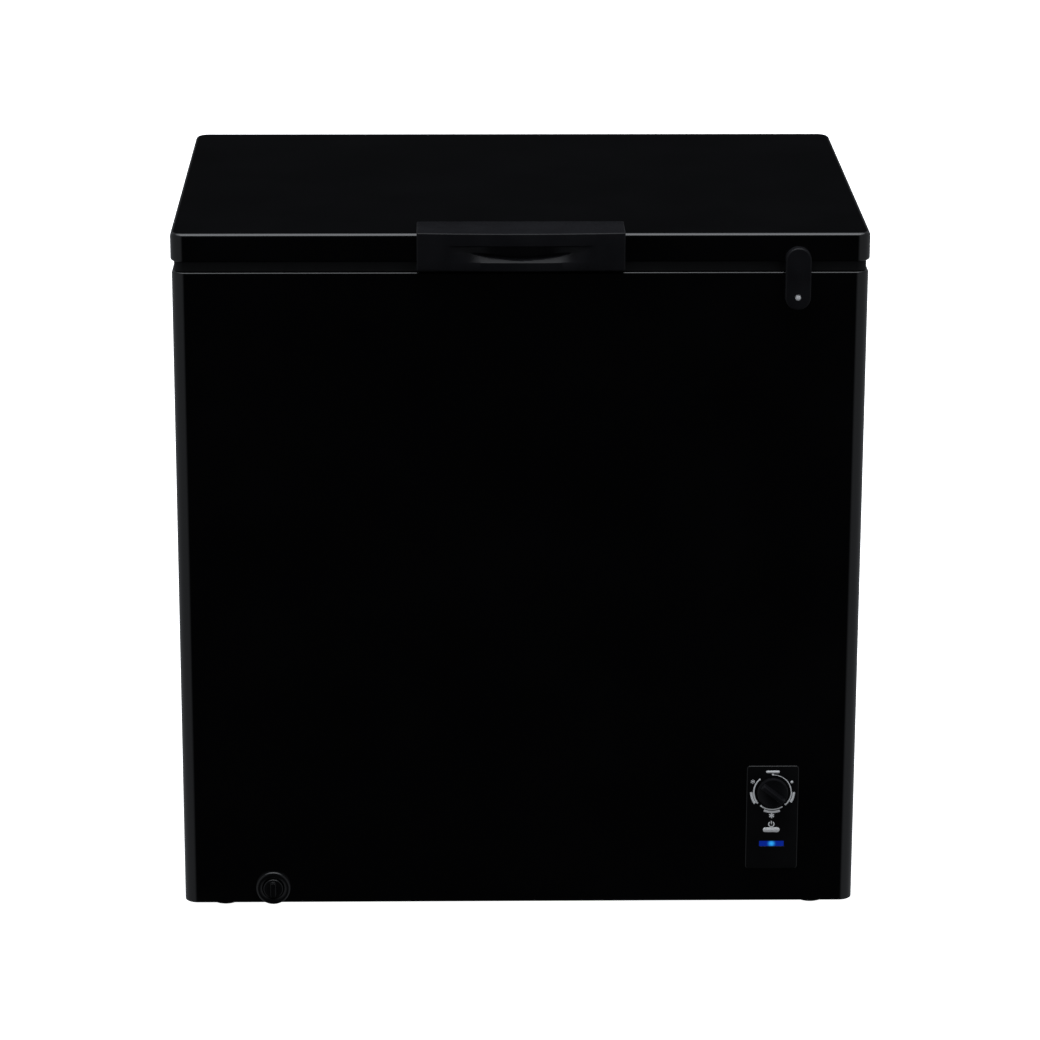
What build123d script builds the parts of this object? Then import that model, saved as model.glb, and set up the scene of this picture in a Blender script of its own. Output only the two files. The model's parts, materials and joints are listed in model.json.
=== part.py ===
from build123d import *

import os
from math import cos, radians, sin

# Chest freezer with a rear-hinged lid. Millimetres, +Z up, -Y is the front that faces the user.
# The origin is on the floor, under the middle of the whole object.

# ---------------------------------------------------------------- driving dimensions
# Outside
cabinet_width = 813.0
cabinet_depth = 550.0
lid_top = 850.0  # top of the closed lid above the floor
foot_height = 15.0
lid_height = 34.0
lid_gap = 12.0  # between the lid's lower edge and the cabinet's rim, closed by the gasket
lid_side_overhang = 1.0
lid_front_overhang = 3.0
lid_back_overhang = 7.0
cabinet_corner = 16.0
back_corner = 4.0
rim_radius = 12.0
lid_corner = 16.0
lid_top_radius = 5.0
lid_bottom_radius = 3.0

# Sheets and walls
sheet = 0.6  # painted steel
pan_sheet = 1.0  # galvanised base pan
liner_sheet = 0.8  # embossed aluminium
plastic = 2.5
wall = 62.0  # outer face of the cabinet to inner face of the tank
floor_wall = 60.0
cavity_corner = 25.0
rim_flange = 22.5  # how far the steel rim folds in
ledge_width = 14.0  # of the shelf that the basket hangs on
ledge_drop = 10.0  # ledge below the rim
collar_skirt = 22.0

# Machine room, low on the right, and the step over it
room_width = 215.0
room_height = 200.0
room_foam = 58.0

# Fits
gap = 0.2  # between pieces that only meet
running = 0.05  # radial, on pins and shafts
sliding = 0.3

# Handle
handle_width = 242.0
handle_proud_mid = 18.0
handle_proud_end = 13.0
handle_above = 4.0  # top plate over the lid
handle_below = 7.0  # below the lid's lower edge
handle_back = 48.0  # top plate behind the lid's front face
grip_width = 172.0
grip_depth = 15.0
grip_low = 11.0  # grip opening above the handle's lower edge
grip_end = 17.5  # height of the grip opening at its ends
grip_mid = 10.0  # and in the middle, where the lip droops
grip_slant = 8.0
handle_corner = 3.0
lip_wall = 3.0

# Lock
lock_from_right = 84.0  # from the cabinet's right side
lock_width = 30.0
lock_height = 74.0
lock_thick = 12.0
lock_top_drop = 15.0  # below the lid's top
lock_wall = 2.5
key_radius = 4.0
key_up = 15.0  # cylinder's axis above the lock's lower end

# Control panel
panel_from_right = 100.0
panel_width = 63.0
panel_height = 133.0
panel_low = 42.0  # lower edge above the cabinet's lower edge
panel_proud = 2.0
panel_corner = 4.0
panel_depth = 9.0
knob_radius = 18.7
knob_up = 99.5  # knob's axis above the panel's lower edge
knob_proud = 12.0
knob_pointer_angle = -52.0  # of the pointer at rest, clockwise from straight up
shaft_radius = 3.0
window_width = 30.0
window_height = 7.0
window_up = 29.0  # lower edge of the window above the panel's lower edge

# Drain
drain_from_left = 108.0
drain_up = 20.0  # axis above the cabinet's lower edge
bezel_radius = 21.0
bezel_thick = 6.0
dial_radius = 12.0
dial_thick = 5.0
bezel_stem = 5.0  # into the pipe
spout_radius = 7.5
spout_bore = 5.5
spout_length = 40.0
spout_travel = 22.0
pipe_radius = 11.0
pipe_wall = 2.0
pipe_bend = 16.0  # of the elbow's axis
drain_back = 45.0  # floor drain behind the tank's front wall

# Hinges
hinge_at = 270.0  # from the middle to each side
pivot_behind = 13.5  # axis behind the lid
ear_radius = 7.0
pivot_up = 6.0  # axis above the rim
pin_radius = 3.0
crank = 12.0  # spring crank's throw
lid_opens = 80.0  # degrees
bracket_width = 60.0
bracket_height = 150.0
bracket_sheet = 2.0
leaf_width = 50.0
leaf_height = 28.0
rod_radius = 2.5
rod_length = 92.0
spring_radius = 4.3
spring_wire = 1.8
spring_length = 62.0
cup_length = 24.0
cup_sheet = 0.8
rod_tail = 15.0  # below the tab

# Basket
basket_width = 240.0
basket_height = 200.0
basket_clear = 6.0  # to the tank's side wall
rim_wire = 2.5  # radii of the three wire sizes
belt_wire = 1.75
mesh_wire = 1.5
side_wires = 8
end_wires = 4

# Compressor and refrigeration
can_radius = 74.0
can_height = 150.0
can_wall = 3.0
can_from_back = 140.0
mount_height = 12.0
evaporator_tube = 4.0  # tube radii
condenser_tube = 2.5
coil_bend = 18.0
coil_riser = 30.0
evaporator_pitch = 80.0
condenser_pitch = 85.0

# Fasteners
screw_shank = 2.0
screw_head = 3.8
screw_head_height = 2.2

# ---------------------------------------------------------------- derived places
lid_width = cabinet_width + 2 * lid_side_overhang
lid_depth = cabinet_depth + lid_front_overhang + lid_back_overhang
lid_mid = (handle_proud_mid - pivot_behind - ear_radius) / 2  # centres the whole object on the origin
lid_front = lid_mid - lid_depth / 2
lid_back = lid_mid + lid_depth / 2
front = lid_front + lid_front_overhang
back = lid_back - lid_back_overhang
right = cabinet_width / 2
left = -right
base = foot_height
lid_low = lid_top - lid_height
rim = lid_low - lid_gap
floor = base + pan_sheet + floor_wall  # tank's floor, its upper face
ledge = rim - ledge_drop
ledge_inset = wall - ledge_width  # where the shelf starts
room_left = right - sheet - room_width
room_top = base + pan_sheet + room_height
step_left = room_left - room_foam
step_top = room_top + room_foam
inner_front = front + wall
inner_back = back - wall
inner_left = left + wall
inner_right = right - wall
panel_x = right - panel_from_right
panel_z = base + panel_low
knob_z = panel_z + knob_up
drain_x = left + drain_from_left
drain_z = base + drain_up
drain_y = inner_front + drain_back
lock_x = right - lock_from_right
lock_high = lid_top - lock_top_drop
lock_low = lock_high - lock_height
key_z = lock_low + key_up
pivot_y = lid_back + pivot_behind
pivot_z = rim + pivot_up
can_x = (room_left + right - sheet) / 2
can_y = back - can_from_back
can_z = base + pan_sheet + mount_height


# ---------------------------------------------------------------- helpers
def block(x0, x1, y0, y1, z0, z1):
    """A box between two corners."""
    return Pos((x0 + x1) / 2, (y0 + y1) / 2, (z0 + z1) / 2) * Box(x1 - x0, y1 - y0, z1 - z0)


def rounded_block(x0, x1, y0, y1, z0, z1, corner, back_radius=None, top=0.0, bottom=0.0):
    """A box with round upright corners and, if asked, round top and bottom edges."""
    plan = Pos((x0 + x1) / 2, (y0 + y1) / 2) * Rectangle(x1 - x0, y1 - y0)
    rows = plan.vertices().group_by(Axis.Y)
    plan = fillet(rows[0], corner)
    rows = plan.vertices().group_by(Axis.Y)
    plan = fillet(rows[-1], corner if back_radius is None else back_radius)
    solid = Pos(0, 0, z0) * extrude(plan, z1 - z0)
    if top:
        solid = fillet(solid.edges().group_by(Axis.Z)[-1], top)
    if bottom:
        solid = fillet(solid.edges().group_by(Axis.Z)[0], bottom)
    return solid


def cabinet_form(inset, z0):
    """The cabinet's outside, drawn in by inset on every face but the bottom."""
    return rounded_block(
        left + inset, right - inset, front + inset, back - inset, z0, rim - inset,
        cabinet_corner - inset, back_corner - inset, top=rim_radius - inset,
    )


def inset_block(inset, z0, z1):
    """An upright block drawn in from the cabinet's sides, with corners concentric with the tank's."""
    return rounded_block(
        left + inset, right - inset, front + inset, back - inset, z0, z1, cavity_corner + wall - inset
    )


def cavity_form(grow, z1):
    """The tank's inside, grown outwards by grow: a deep well and the shallower space over the step."""
    y0, y1, corner = inner_front - grow, inner_back + grow, cavity_corner + grow
    well = rounded_block(inner_left - grow, step_left + grow, y0, y1, floor - grow, z1, corner)
    over = rounded_block(inner_left - grow, inner_right + grow, y0, y1, step_top - grow, z1, corner)
    return well + over


def lid_form(inset):
    """The lid's outside, drawn in by inset on every face."""
    half = lid_width / 2 - inset
    return rounded_block(
        -half, half, lid_front + inset, lid_back - inset, lid_low + inset, lid_top - inset,
        lid_corner - inset, top=lid_top_radius - inset, bottom=lid_bottom_radius - inset,
    )


def lid_ring(outer, inner, z0, z1):
    """A ring that follows the lid's edge, between two insets."""
    def ring_block(inset):
        half = lid_width / 2 - inset
        corner = max(lid_corner - inset, 4.0)
        return rounded_block(-half, half, lid_front + inset, lid_back - inset, z0, z1, corner)

    return ring_block(outer) - ring_block(inner)


def rod(start, end, radius):
    """A round bar from one point to another."""
    along = Vector(*end) - Vector(*start)
    return Solid.make_cylinder(radius, along.length, Plane(origin=start, z_dir=along))


def disc(centre, direction, radius, length):
    """A round bar from a point along a direction."""
    return Solid.make_cylinder(radius, length, Plane(origin=centre, z_dir=direction))


def tube(points, radius, bend):
    """A solid round tube along straight runs joined by arcs."""
    path = FilletPolyline(*points, radius=bend)
    return sweep(Plane(origin=path @ 0, z_dir=path % 0) * Circle(radius), path=path)


def group(pieces):
    """Separate solids kept as one node."""
    return Compound([solid for piece in pieces for solid in piece.solids()])


def screw(seat, direction, length):
    """A cross-head screw. seat is under its head, and direction points out of the head."""
    outward = Vector(*direction)
    seat = Vector(*seat)
    body = disc(seat - outward * length, outward, screw_shank, length)
    head = Plane(origin=seat, z_dir=outward) * Pos(0, 0, screw_head_height / 2) * Cylinder(
        screw_head, screw_head_height
    )
    head = fillet(head.edges().filter_by(GeomType.CIRCLE).sort_by(
        lambda edge: (edge.center() - seat).dot(outward))[-1:], screw_head_height * 0.55)
    slot = Box(screw_head, 0.8, 1.6) + Box(0.8, screw_head, 1.6)
    cross = Plane(origin=seat + outward * screw_head_height, z_dir=outward) * slot
    return (head - cross) + body


def screw_hole(seat, direction, depth):
    """The hole that a screw's shank takes, from its seat inwards."""
    outward = Vector(*direction)
    start = Vector(*seat) + outward
    return disc(start, -outward, screw_shank + gap, depth + 1 + gap)


def slots(x0, x1, z0, z1, y0, y1, count, height):
    """Rows of slots through a plate that faces Y."""
    pitch = (z1 - z0) / count
    return [
        block(x0, x1, y0, y1, z0 + pitch * (i + 0.5) - height / 2, z0 + pitch * (i + 0.5) + height / 2)
        for i in range(count)
    ]


# ---------------------------------------------------------------- screw places
bracket_low = rim - 8.0 - bracket_height
bracket_seat = back + sheet + bracket_sheet
leaf_seat = lid_back + bracket_sheet
bracket_screws = [
    (side * hinge_at + x, bracket_seat, bracket_low + z)
    for side in (-1, 1)
    for x in (-bracket_width / 2 + 13, bracket_width / 2 - 13)
    for z in (14.0, bracket_height * 0.55)
]
leaf_screws = [
    (side * hinge_at + x, leaf_seat, lid_top - lid_top_radius - 9.0)
    for side in (-1, 1)
    for x in (-leaf_width / 2 + 9, leaf_width / 2 - 9)
]
handle_screw_seat = lid_front - plastic
handle_screws_at = [
    (x, handle_screw_seat, lid_low + 11.5) for x in (-handle_width / 2 + 24, 0.0, handle_width / 2 - 24)
]
lock_screw_at = [(lock_x, lid_front - lock_wall, lock_high - 8.0)]
keeper_thick = 1.5
# The keeper's plate reaches the top of the flat face, and its screw heads stay clear of the lip.
keeper_high = rim - rim_radius
keeper_screw_drop = 4.4
keeper_screw_out = 7.0
keeper_screws_at = [
    (lock_x + side * keeper_screw_out, front - keeper_thick, keeper_high - keeper_screw_drop)
    for side in (-1, 1)
]
back_panel_screws_at = [
    (side * (right - 9.0), back + sheet, base + 30 + i * (rim - base - 60) / 4)
    for side in (-1, 1)
    for i in range(5)
]
cover_x0, cover_x1 = room_left + 6.0, right - 16.0
cover_z0, cover_z1 = base + 8.0, room_top - 6.0
cover_seat = back + 2 * sheet
cover_screws_at = [
    (x, cover_seat, z) for x in (cover_x0 + 8, cover_x1 - 8) for z in (cover_z0 + 8, cover_z1 - 8)
]
foot_at = [(x, y) for x in (left + 48, right - 48) for y in (front + 48, back - 48)]
foot_radius = 18.0
vent_y0, vent_y1 = back - 215.0, back - 45.0
vent_z0, vent_z1 = base + 35.0, room_top - 35.0
thermostat_front = front + panel_depth + 1.0
switch_plate = 1.5
panel_screws_at = [(panel_x + x, thermostat_front + switch_plate, knob_z) for x in (-20.5, 20.5)]
grommet_x, grommet_z = cover_x0 + 42.0, cover_z0 + 34.0
grommet_bore = 4.2


# ---------------------------------------------------------------- cabinet
def panel_opening():
    """The hole in the front sheet for the control panel's body."""
    edge = 4.0
    return block(
        panel_x - panel_width / 2 + edge, panel_x + panel_width / 2 - edge, front - 1, front + sheet + 1,
        panel_z + edge, panel_z + panel_height - edge,
    )


def outer_shell():
    shell = cabinet_form(0, base) - cabinet_form(sheet, base - 1)
    shell -= inset_block(rim_flange, rim - rim_radius - 1, rim + 1)
    shell -= block(left + 14, right - 14, back - 1, back + 1, base - 1, rim - 14)
    shell -= panel_opening()
    shell -= disc((drain_x, front - 1, drain_z), (0, 1, 0), pipe_radius + gap, 3)
    shell -= block(right - 1, right + 1, vent_y0, vent_y1, vent_z0, vent_z1)
    for place in keeper_screws_at:
        shell -= screw_hole(place, (0, -1, 0), 10)
    for place in back_panel_screws_at:
        shell -= screw_hole(place, (0, 1, 0), 10)
    return shell


def back_panel():
    inset = 3.0
    panel = block(left + inset, right - inset, back, back + sheet, base + 2, rim - inset - 4)
    panel -= block(cover_x0 + 14, cover_x1 - 14, back - 1, back + 2, cover_z0 + 14, cover_z1 - 14)
    for place in bracket_screws:
        panel -= screw_hole(place, (0, 1, 0), 10)
    for place in back_panel_screws_at + cover_screws_at:
        panel -= screw_hole(place, (0, 1, 0), 10)
    return panel


def base_pan():
    flange = 12.0
    side = sheet + gap
    tray = cabinet_form(side, base) - block(left, right, front, back, base + flange, rim + 1)
    inner = side + pan_sheet
    tray -= rounded_block(
        left + inner, right - inner, front + inner, back - inner, base + pan_sheet, rim,
        cabinet_corner - inner, back_corner - inner,
    )
    for x, y in foot_at:
        tray -= disc((x, y, base - 1), (0, 0, 1), screw_shank + gap, 4)
    tray -= disc((drain_x, front - 1, drain_z), (0, 1, 0), pipe_radius + gap, 8)
    return tray


def feet():
    def foot(x, y):
        body = disc((x, y, 0), (0, 0, 1), foot_radius, foot_height)
        body = fillet(body.edges().filter_by(GeomType.CIRCLE).sort_by(Axis.Z)[:1], 2.0)
        return body - disc((x, y, -1), (0, 0, 1), screw_head + 1, foot_height - 3) - disc(
            (x, y, 0), (0, 0, 1), screw_shank + gap, foot_height + 1)

    return group(foot(x, y) for x, y in foot_at)


def foot_screws():
    return group(screw((x, y, foot_height - 4), (0, 0, -1), 12.0) for x, y in foot_at)


def room_liner():
    """The bent sheet that keeps the foam out of the machine room."""
    inside = sheet + gap
    y0, y1 = front + inside + pan_sheet + gap, back - inside - pan_sheet - gap
    upright = block(room_left - liner_sheet, room_left, y0, y1, base + pan_sheet, room_top + liner_sheet)
    top = block(room_left - liner_sheet, right - inside, y0, y1, room_top, room_top + liner_sheet)
    return (upright + top) & cabinet_form(inside, base)


def coil_bounds(inset, z):
    """A coil's rectangle at a height: inset from the cabinet, and clear of the step below its top."""
    x1 = right - inset
    if inset > wall / 2 and z < step_top + evaporator_tube:
        x1 = step_left + wall - inset
    return left + inset, x1, front + inset, back - inset


def coil_levels(z0, z1, pitch):
    return [z0 + i * pitch for i in range(int((z1 - z0) / pitch) + 1)]


evaporator_inset = wall - liner_sheet - gap - evaporator_tube
condenser_inset = sheet + gap + condenser_tube
evaporator_levels = coil_levels(floor + 45, step_top - 40, evaporator_pitch) + coil_levels(
    step_top + 35, ledge - 60, evaporator_pitch)
condenser_levels = coil_levels(room_top + 60, bracket_low - 20, condenser_pitch)


def coil(levels, inset, radius):
    """A tube wound round the tank or inside the outer sheet, with its risers on the back."""
    points = []
    for z in levels:
        x0, x1, y0, y1 = coil_bounds(inset, z)
        points += [
            (0, y1, z), (x1, y1, z), (x1, y0, z), (x0, y0, z), (x0, y1, z), (-coil_riser, y1, z),
        ]
    return tube(points, radius, coil_bend)


def coil_grooves(levels, inset, radius, inward):
    """The channels that a coil leaves in the foam. They run into the tank or the outer sheet by 1 mm."""
    half = radius + gap
    inside, outside = half + (1 if inward else 0), half + (0 if inward else 1)
    cuts = []
    for z in levels:
        x0, x1, y0, y1 = coil_bounds(inset, z)
        outer = rounded_block(x0 - outside, x1 + outside, y0 - outside, y1 + outside, z - half, z + half,
                              coil_bend + outside)
        inner = rounded_block(x0 + inside, x1 - inside, y0 + inside, y1 - inside, z - half - 1,
                z + half + 1,
                              coil_bend - inside)
        cuts.append(outer - inner)
    y1 = coil_bounds(inset, levels[0])[3]
    cuts.append(block(-coil_riser - 15, 15, y1 - inside, y1 + outside, levels[0] - half, levels[-1] + half))
    return cuts


def cabinet_foam():
    inside = sheet
    foam = cabinet_form(inside, base + pan_sheet)
    foam -= cavity_form(liner_sheet, rim + 1)
    foam -= inset_block(rim_flange, rim - plastic, rim + 1)
    foam -= inset_block(ledge_inset - plastic, ledge - plastic, rim + 1)
    foam -= inset_block(wall - liner_sheet - gap - plastic, ledge - collar_skirt, rim + 1)
    foam -= block(room_left - liner_sheet, right, front, back, base, room_top + liner_sheet)
    flange = sheet + gap + pan_sheet + gap
    foam -= block(left, right, front, back, base, base + 13) - rounded_block(
        left + flange, right - flange, front + flange, back - flange, base, rim, cabinet_corner - flange,
        back_corner - flange)
    for cut in coil_grooves(evaporator_levels, evaporator_inset, evaporator_tube, True):
        foam -= cut
    for cut in coil_grooves(condenser_levels, condenser_inset, condenser_tube, False):
        foam -= cut
    foam -= drain_way(front, floor, pipe_radius + gap)
    for place in keeper_screws_at:
        foam -= screw_hole(place, (0, -1, 0), 12)
    for place in bracket_screws + back_panel_screws_at:
        foam -= screw_hole(place, (0, 1, 0), 16)
    for x, y in foot_at:
        foam -= disc((x, y, base), (0, 0, 1), screw_shank + gap, 12)
    return foam


def inner_liner():
    liner = cavity_form(liner_sheet, ledge - plastic - gap) - cavity_form(0, rim)
    return liner - disc((drain_x, drain_y, floor - 3), (0, 0, 1), pipe_radius - pipe_wall - gap, 6)


def top_collar():
    """The plastic frame round the opening: a top plate, a step down to the ledge, and a skirt."""
    plate = inset_block(rim_flange + gap, rim - plastic, rim)
    plate -= inset_block(ledge_inset, rim - plastic - 1, rim + 1)
    step = inset_block(ledge_inset - plastic, ledge - plastic, rim)
    step -= inset_block(ledge_inset, ledge, rim + 1)
    skirt_inset = wall - liner_sheet - gap
    skirt = inset_block(skirt_inset - plastic, ledge - collar_skirt, ledge)
    hole = inset_block(wall, ledge - plastic - 1, rim + 1) + inset_block(
        skirt_inset, ledge - collar_skirt - 1, ledge - plastic)
    return (plate + step + skirt) - hole


# ---------------------------------------------------------------- drain
def drain_way(start, end, radius):
    """A bent bar along the drain's path, from a place in front to a height above the elbow."""
    points = [(drain_x, start, drain_z), (drain_x, drain_y, drain_z), (drain_x, drain_y, end)]
    return tube(points, radius, pipe_bend)


def drain_pipe():
    """An elbow from the tank's floor to the front."""
    mouth, high = front + sheet, floor - liner_sheet - gap
    return drain_way(mouth, high, pipe_radius) - drain_way(mouth - 1, high + 1, pipe_radius - pipe_wall)


bush_bore = 6.0
bush_flange = 22.0
bush_thick = 2.0


def floor_drain_bush():
    stem = pipe_radius - pipe_wall - 2 * gap
    at = (drain_x, drain_y, floor)
    bush = disc(at, (0, 0, 1), bush_flange, bush_thick)
    bush = fillet(bush.edges().filter_by(GeomType.CIRCLE).sort_by(Axis.Z)[-1:], 1.0)
    bush += disc(at, (0, 0, -1), stem, 14.0)
    return bush - disc((drain_x, drain_y, floor - 20), (0, 0, 1), bush_bore, 30)


def floor_drain_plug():
    top = floor + bush_thick + gap
    plug = disc((drain_x, drain_y, top), (0, 0, 1), 11.0, 4.0)
    plug = fillet(plug.edges().filter_by(GeomType.CIRCLE).sort_by(Axis.Z)[-1:], 1.2)
    plug += disc((drain_x, drain_y, top), (0, 0, -1), bush_bore - running, 13.0)
    tab = block(drain_x - 7, drain_x + 7, drain_y - 1.5, drain_y + 1.5, top + 3, top + 15)
    tab -= disc((drain_x, drain_y - 3, top + 9.5), (0, 1, 0), 3.0, 6)
    return plug + tab


def drain_bezel():
    face = front - bezel_thick
    bezel = disc((drain_x, face, drain_z), (0, 1, 0), bezel_radius, bezel_thick)
    bezel = fillet(bezel.edges().filter_by(GeomType.CIRCLE).sort_by(Axis.Y)[:1], 2.0)
    bezel += disc((drain_x, front, drain_z), (0, 1, 0), pipe_radius - pipe_wall - gap, bezel_stem)
    bezel -= disc((drain_x, face - 1, drain_z), (0, 1, 0), dial_radius + sliding, bezel_thick - 1)
    return bezel - disc((drain_x, face - 1, drain_z), (0, 1, 0), spout_radius + running, bezel_thick + 20)


dial_back = front - 2.0 - gap


def drain_spout():
    """The tube that pulls out of the front. Its nose carries the dial, and its mouth faces down."""
    spout = disc((drain_x, dial_back, drain_z), (0, 1, 0), spout_radius, spout_length)
    spout += disc((drain_x, dial_back, drain_z), (0, -1, 0), 4.0, 3.0)
    spout -= disc((drain_x, dial_back + 8, drain_z), (0, 1, 0), spout_bore, spout_length)
    spout -= disc((drain_x, dial_back + 12, drain_z), (0, 0, -1), 3.5, spout_radius + 2)
    groove = disc((drain_x, dial_back + 30, drain_z), (0, 1, 0), spout_radius + 1, 2.4) - disc(
        (drain_x, dial_back + 29, drain_z), (0, 1, 0), spout_radius - 1, 5)
    return spout - groove


def drain_o_ring():
    ring_radius, section = spout_radius - 1 + 1.15, 1.1
    path = Plane(origin=(drain_x, dial_back + 31.2, drain_z), z_dir=(0, 1, 0)) * Pos(0, 0, 0)
    return path * Torus(ring_radius, section)


def drain_dial():
    dial = disc((drain_x, dial_back, drain_z), (0, -1, 0), dial_radius, dial_thick)
    dial = fillet(dial.edges().filter_by(GeomType.CIRCLE).sort_by(Axis.Y)[:1], 1.2)
    grip = block(drain_x - 3, drain_x + 3, dial_back - dial_thick - 5, dial_back - dial_thick + 0.5,
                 drain_z - dial_radius + 3, drain_z + dial_radius - 3)
    grip = fillet(grip.edges().filter_by(Axis.Y), 2.0)
    return dial + grip - disc((drain_x, dial_back + 1, drain_z), (0, -1, 0), 4.0 + running, 4.2 + 1)


# ---------------------------------------------------------------- control panel
def control_panel():
    """A flat bezel with a body behind it, bored for the knob's shaft and the indicator's window."""
    half, edge = panel_width / 2, 4.0 + gap
    high = panel_z + panel_height
    middle = Pos(panel_x, front - panel_proud / 2, (panel_z + high) / 2)
    plate = middle * Box(panel_width, panel_proud, panel_height)
    plate = fillet(plate.edges().filter_by(Axis.Y), panel_corner)
    plate = fillet(plate.faces().sort_by(Axis.Y)[0].edges(), 1.0)
    x0, x1 = panel_x - half + edge, panel_x + half - edge
    z0, z1 = panel_z + edge, high - edge
    body = block(x0, x1, front, front + panel_depth, z0, z1)
    body -= block(x0 + plastic, x1 - plastic, front + 1.2, front + panel_depth + 1, z0 + plastic,
            z1 - plastic)
    bosses = [disc((x, front, z), (0, 1, 0), 4.0, thermostat_front - front) for x, _, z in panel_screws_at]
    panel = plate + body + bosses
    panel -= disc((panel_x, front - 5, knob_z), (0, 1, 0), shaft_radius + 1.0, 30)
    panel -= block(panel_x - window_width / 2, panel_x + window_width / 2, front - 5, front + 5,
                   panel_z + window_up, panel_z + window_up + window_height)
    for place in panel_screws_at:
        panel -= screw_hole(place, (0, 1, 0), 9.0)
    return panel


def indicator_window():
    z = panel_z + window_up
    half = window_width / 2 - gap
    return block(panel_x - half, panel_x + half, front - panel_proud + 0.4, front + 3.0, z + gap,
                 z + window_height - gap)


def indicator_lamp():
    z = panel_z + window_up + window_height / 2
    y = front + panel_depth - 2.5
    board = block(panel_x - 18, panel_x + 18, y, y + 1.5, z - 9, z + 9)
    return board + disc((panel_x, y, z), (0, -1, 0), 2.5, 2.8)


def thermostat():
    """The switch body on its mounting plate. Its shaft is the knob's."""
    y = thermostat_front
    plate = block(panel_x - 26, panel_x + 26, y, y + switch_plate, knob_z - 16, knob_z + 16)
    body = block(panel_x - 16, panel_x + 16, y + switch_plate, y + 34, knob_z - 16, knob_z + 16)
    body = fillet(body.edges().filter_by(Axis.Y), 3.0)
    terminals = [block(panel_x + x - 0.4, panel_x + x + 0.4, y + 34, y + 42, knob_z - 3, knob_z + 3)
                 for x in (-12, 0, 12)]
    switch = plate + body + terminals
    for place in panel_screws_at:
        switch -= screw_hole(place, (0, 1, 0), 9.0)
    return switch - disc((panel_x, y - 1, knob_z), (0, 1, 0), shaft_radius + running, 14)


def thermostat_knob():
    """Skirt, raised bar with a pointer end, and the shaft that reaches the switch."""
    face = front - panel_proud - 0.5
    knob = disc((panel_x, face, knob_z), (0, -1, 0), knob_radius, knob_proud * 0.42)
    knob = fillet(knob.edges().filter_by(GeomType.CIRCLE).sort_by(Axis.Y)[:1], 1.5)
    bar = block(-4.5, 4.5, -knob_proud, -knob_proud * 0.3, -knob_radius + 1.5, knob_radius - 1.5)
    bar = fillet(bar.edges().filter_by(Axis.Y), 3.0)
    bar = fillet(bar.faces().sort_by(Axis.Y)[0].edges(), 1.5)
    bar = Pos(panel_x, face, knob_z) * Rot(0, knob_pointer_angle, 0) * bar
    return knob + bar + disc((panel_x, face, knob_z), (0, 1, 0), shaft_radius, thermostat_front + 10 - face)


# ---------------------------------------------------------------- machine room
def compressor_half(upper):
    """One half of the sealed can, hollow."""
    weld = can_z + can_height * 0.48
    if upper:
        outer = Pos(can_x, can_y, weld) * extrude(Circle(can_radius - 3), can_z + can_height - weld)
        outer = fillet(outer.edges().group_by(Axis.Z)[-1], can_radius * 0.42)
        inner = Pos(can_x, can_y, weld - 1) * extrude(Circle(can_radius - 3 - can_wall),
                                                     can_z + can_height - weld - can_wall + 1)
        inner = fillet(inner.edges().group_by(Axis.Z)[-1], can_radius * 0.42 - can_wall)
        return outer - inner
    outer = Pos(can_x, can_y, can_z) * extrude(Circle(can_radius), weld - can_z)
    outer = fillet(outer.edges().group_by(Axis.Z)[0], can_radius * 0.3)
    inner = Pos(can_x, can_y, can_z + can_wall) * extrude(Circle(can_radius - can_wall), weld - can_z)
    inner = fillet(inner.edges().group_by(Axis.Z)[0], can_radius * 0.3 - can_wall)
    legs = [
        block(can_x + x - 16, can_x + x + 16, can_y - 92, can_y + 92, can_z - 1,
                can_z + 2) for x in (-52, 52)
    ]
    can = outer + legs
    can -= inner
    for x, y in compressor_feet():
        can -= disc((x, y, can_z - 5), (0, 0, 1), 5.0, 12)
    return can


def compressor_feet():
    return [(can_x + x, can_y + y) for x in (-52, 52) for y in (-82, 82)]


def compressor_mounts():
    """Rubber bushes that the can's legs stand on and reach into."""
    def bush(x, y):
        low = base + pan_sheet
        body = disc((x, y, low), (0, 0, 1), 9.0, can_z - 1 - low)
        body += disc((x, y, low), (0, 0, 1), 4.8, can_z + 6 - low)
        return body - disc((x, y, low - 1), (0, 0, 1), 3.2, 40)

    return group(bush(x, y) for x, y in compressor_feet())


def compressor_bolts():
    def bolt(x, y):
        low = base + pan_sheet
        shank = disc((x, y, low), (0, 0, 1), 3.0, can_z + 9 - low)
        head = Pos(x, y, can_z + 6.2) * extrude(RegularPolygon(5.5, 6), 4.0)
        return shank + head

    return group(bolt(x, y) for x, y in compressor_feet())


motor_low = can_z + 14.0


def compressor_stator():
    ring = disc((can_x, can_y, motor_low), (0, 0, 1), 56.0, 46.0)
    return ring - disc((can_x, can_y, motor_low - 1), (0, 0, 1), 30.0, 60)


def compressor_frame():
    """The cast frame over the stator, with the main bearing and the cylinder."""
    z = motor_low + 46.0 + gap
    frame = disc((can_x, can_y, z), (0, 0, 1), 50.0, 12.0)
    frame += disc((can_x, can_y, z), (0, 0, 1), 15.0, 30.0)
    frame += block(can_x - 20, can_x + 20, can_y - 52, can_y - 22, z + 10, z + 46)
    frame -= disc((can_x, can_y - 53, z + 34), (0, 1, 0), 9.0, 25)
    return frame - disc((can_x, can_y, z - 1), (0, 0, 1), 8.0, 60)


def compressor_rotor():
    """Rotor, shaft and the crank that drives the piston."""
    z = motor_low + 46.0 + gap
    rotor = disc((can_x, can_y, motor_low), (0, 0, 1), 29.0, 44.0)
    rotor += disc((can_x, can_y, motor_low - 6), (0, 0, 1), 8.0 - running, z - motor_low + 36 + 3)
    rotor += disc((can_x, can_y, z + 30 + gap), (0, 0, 1), 13.0, 4.0)
    return rotor


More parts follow.
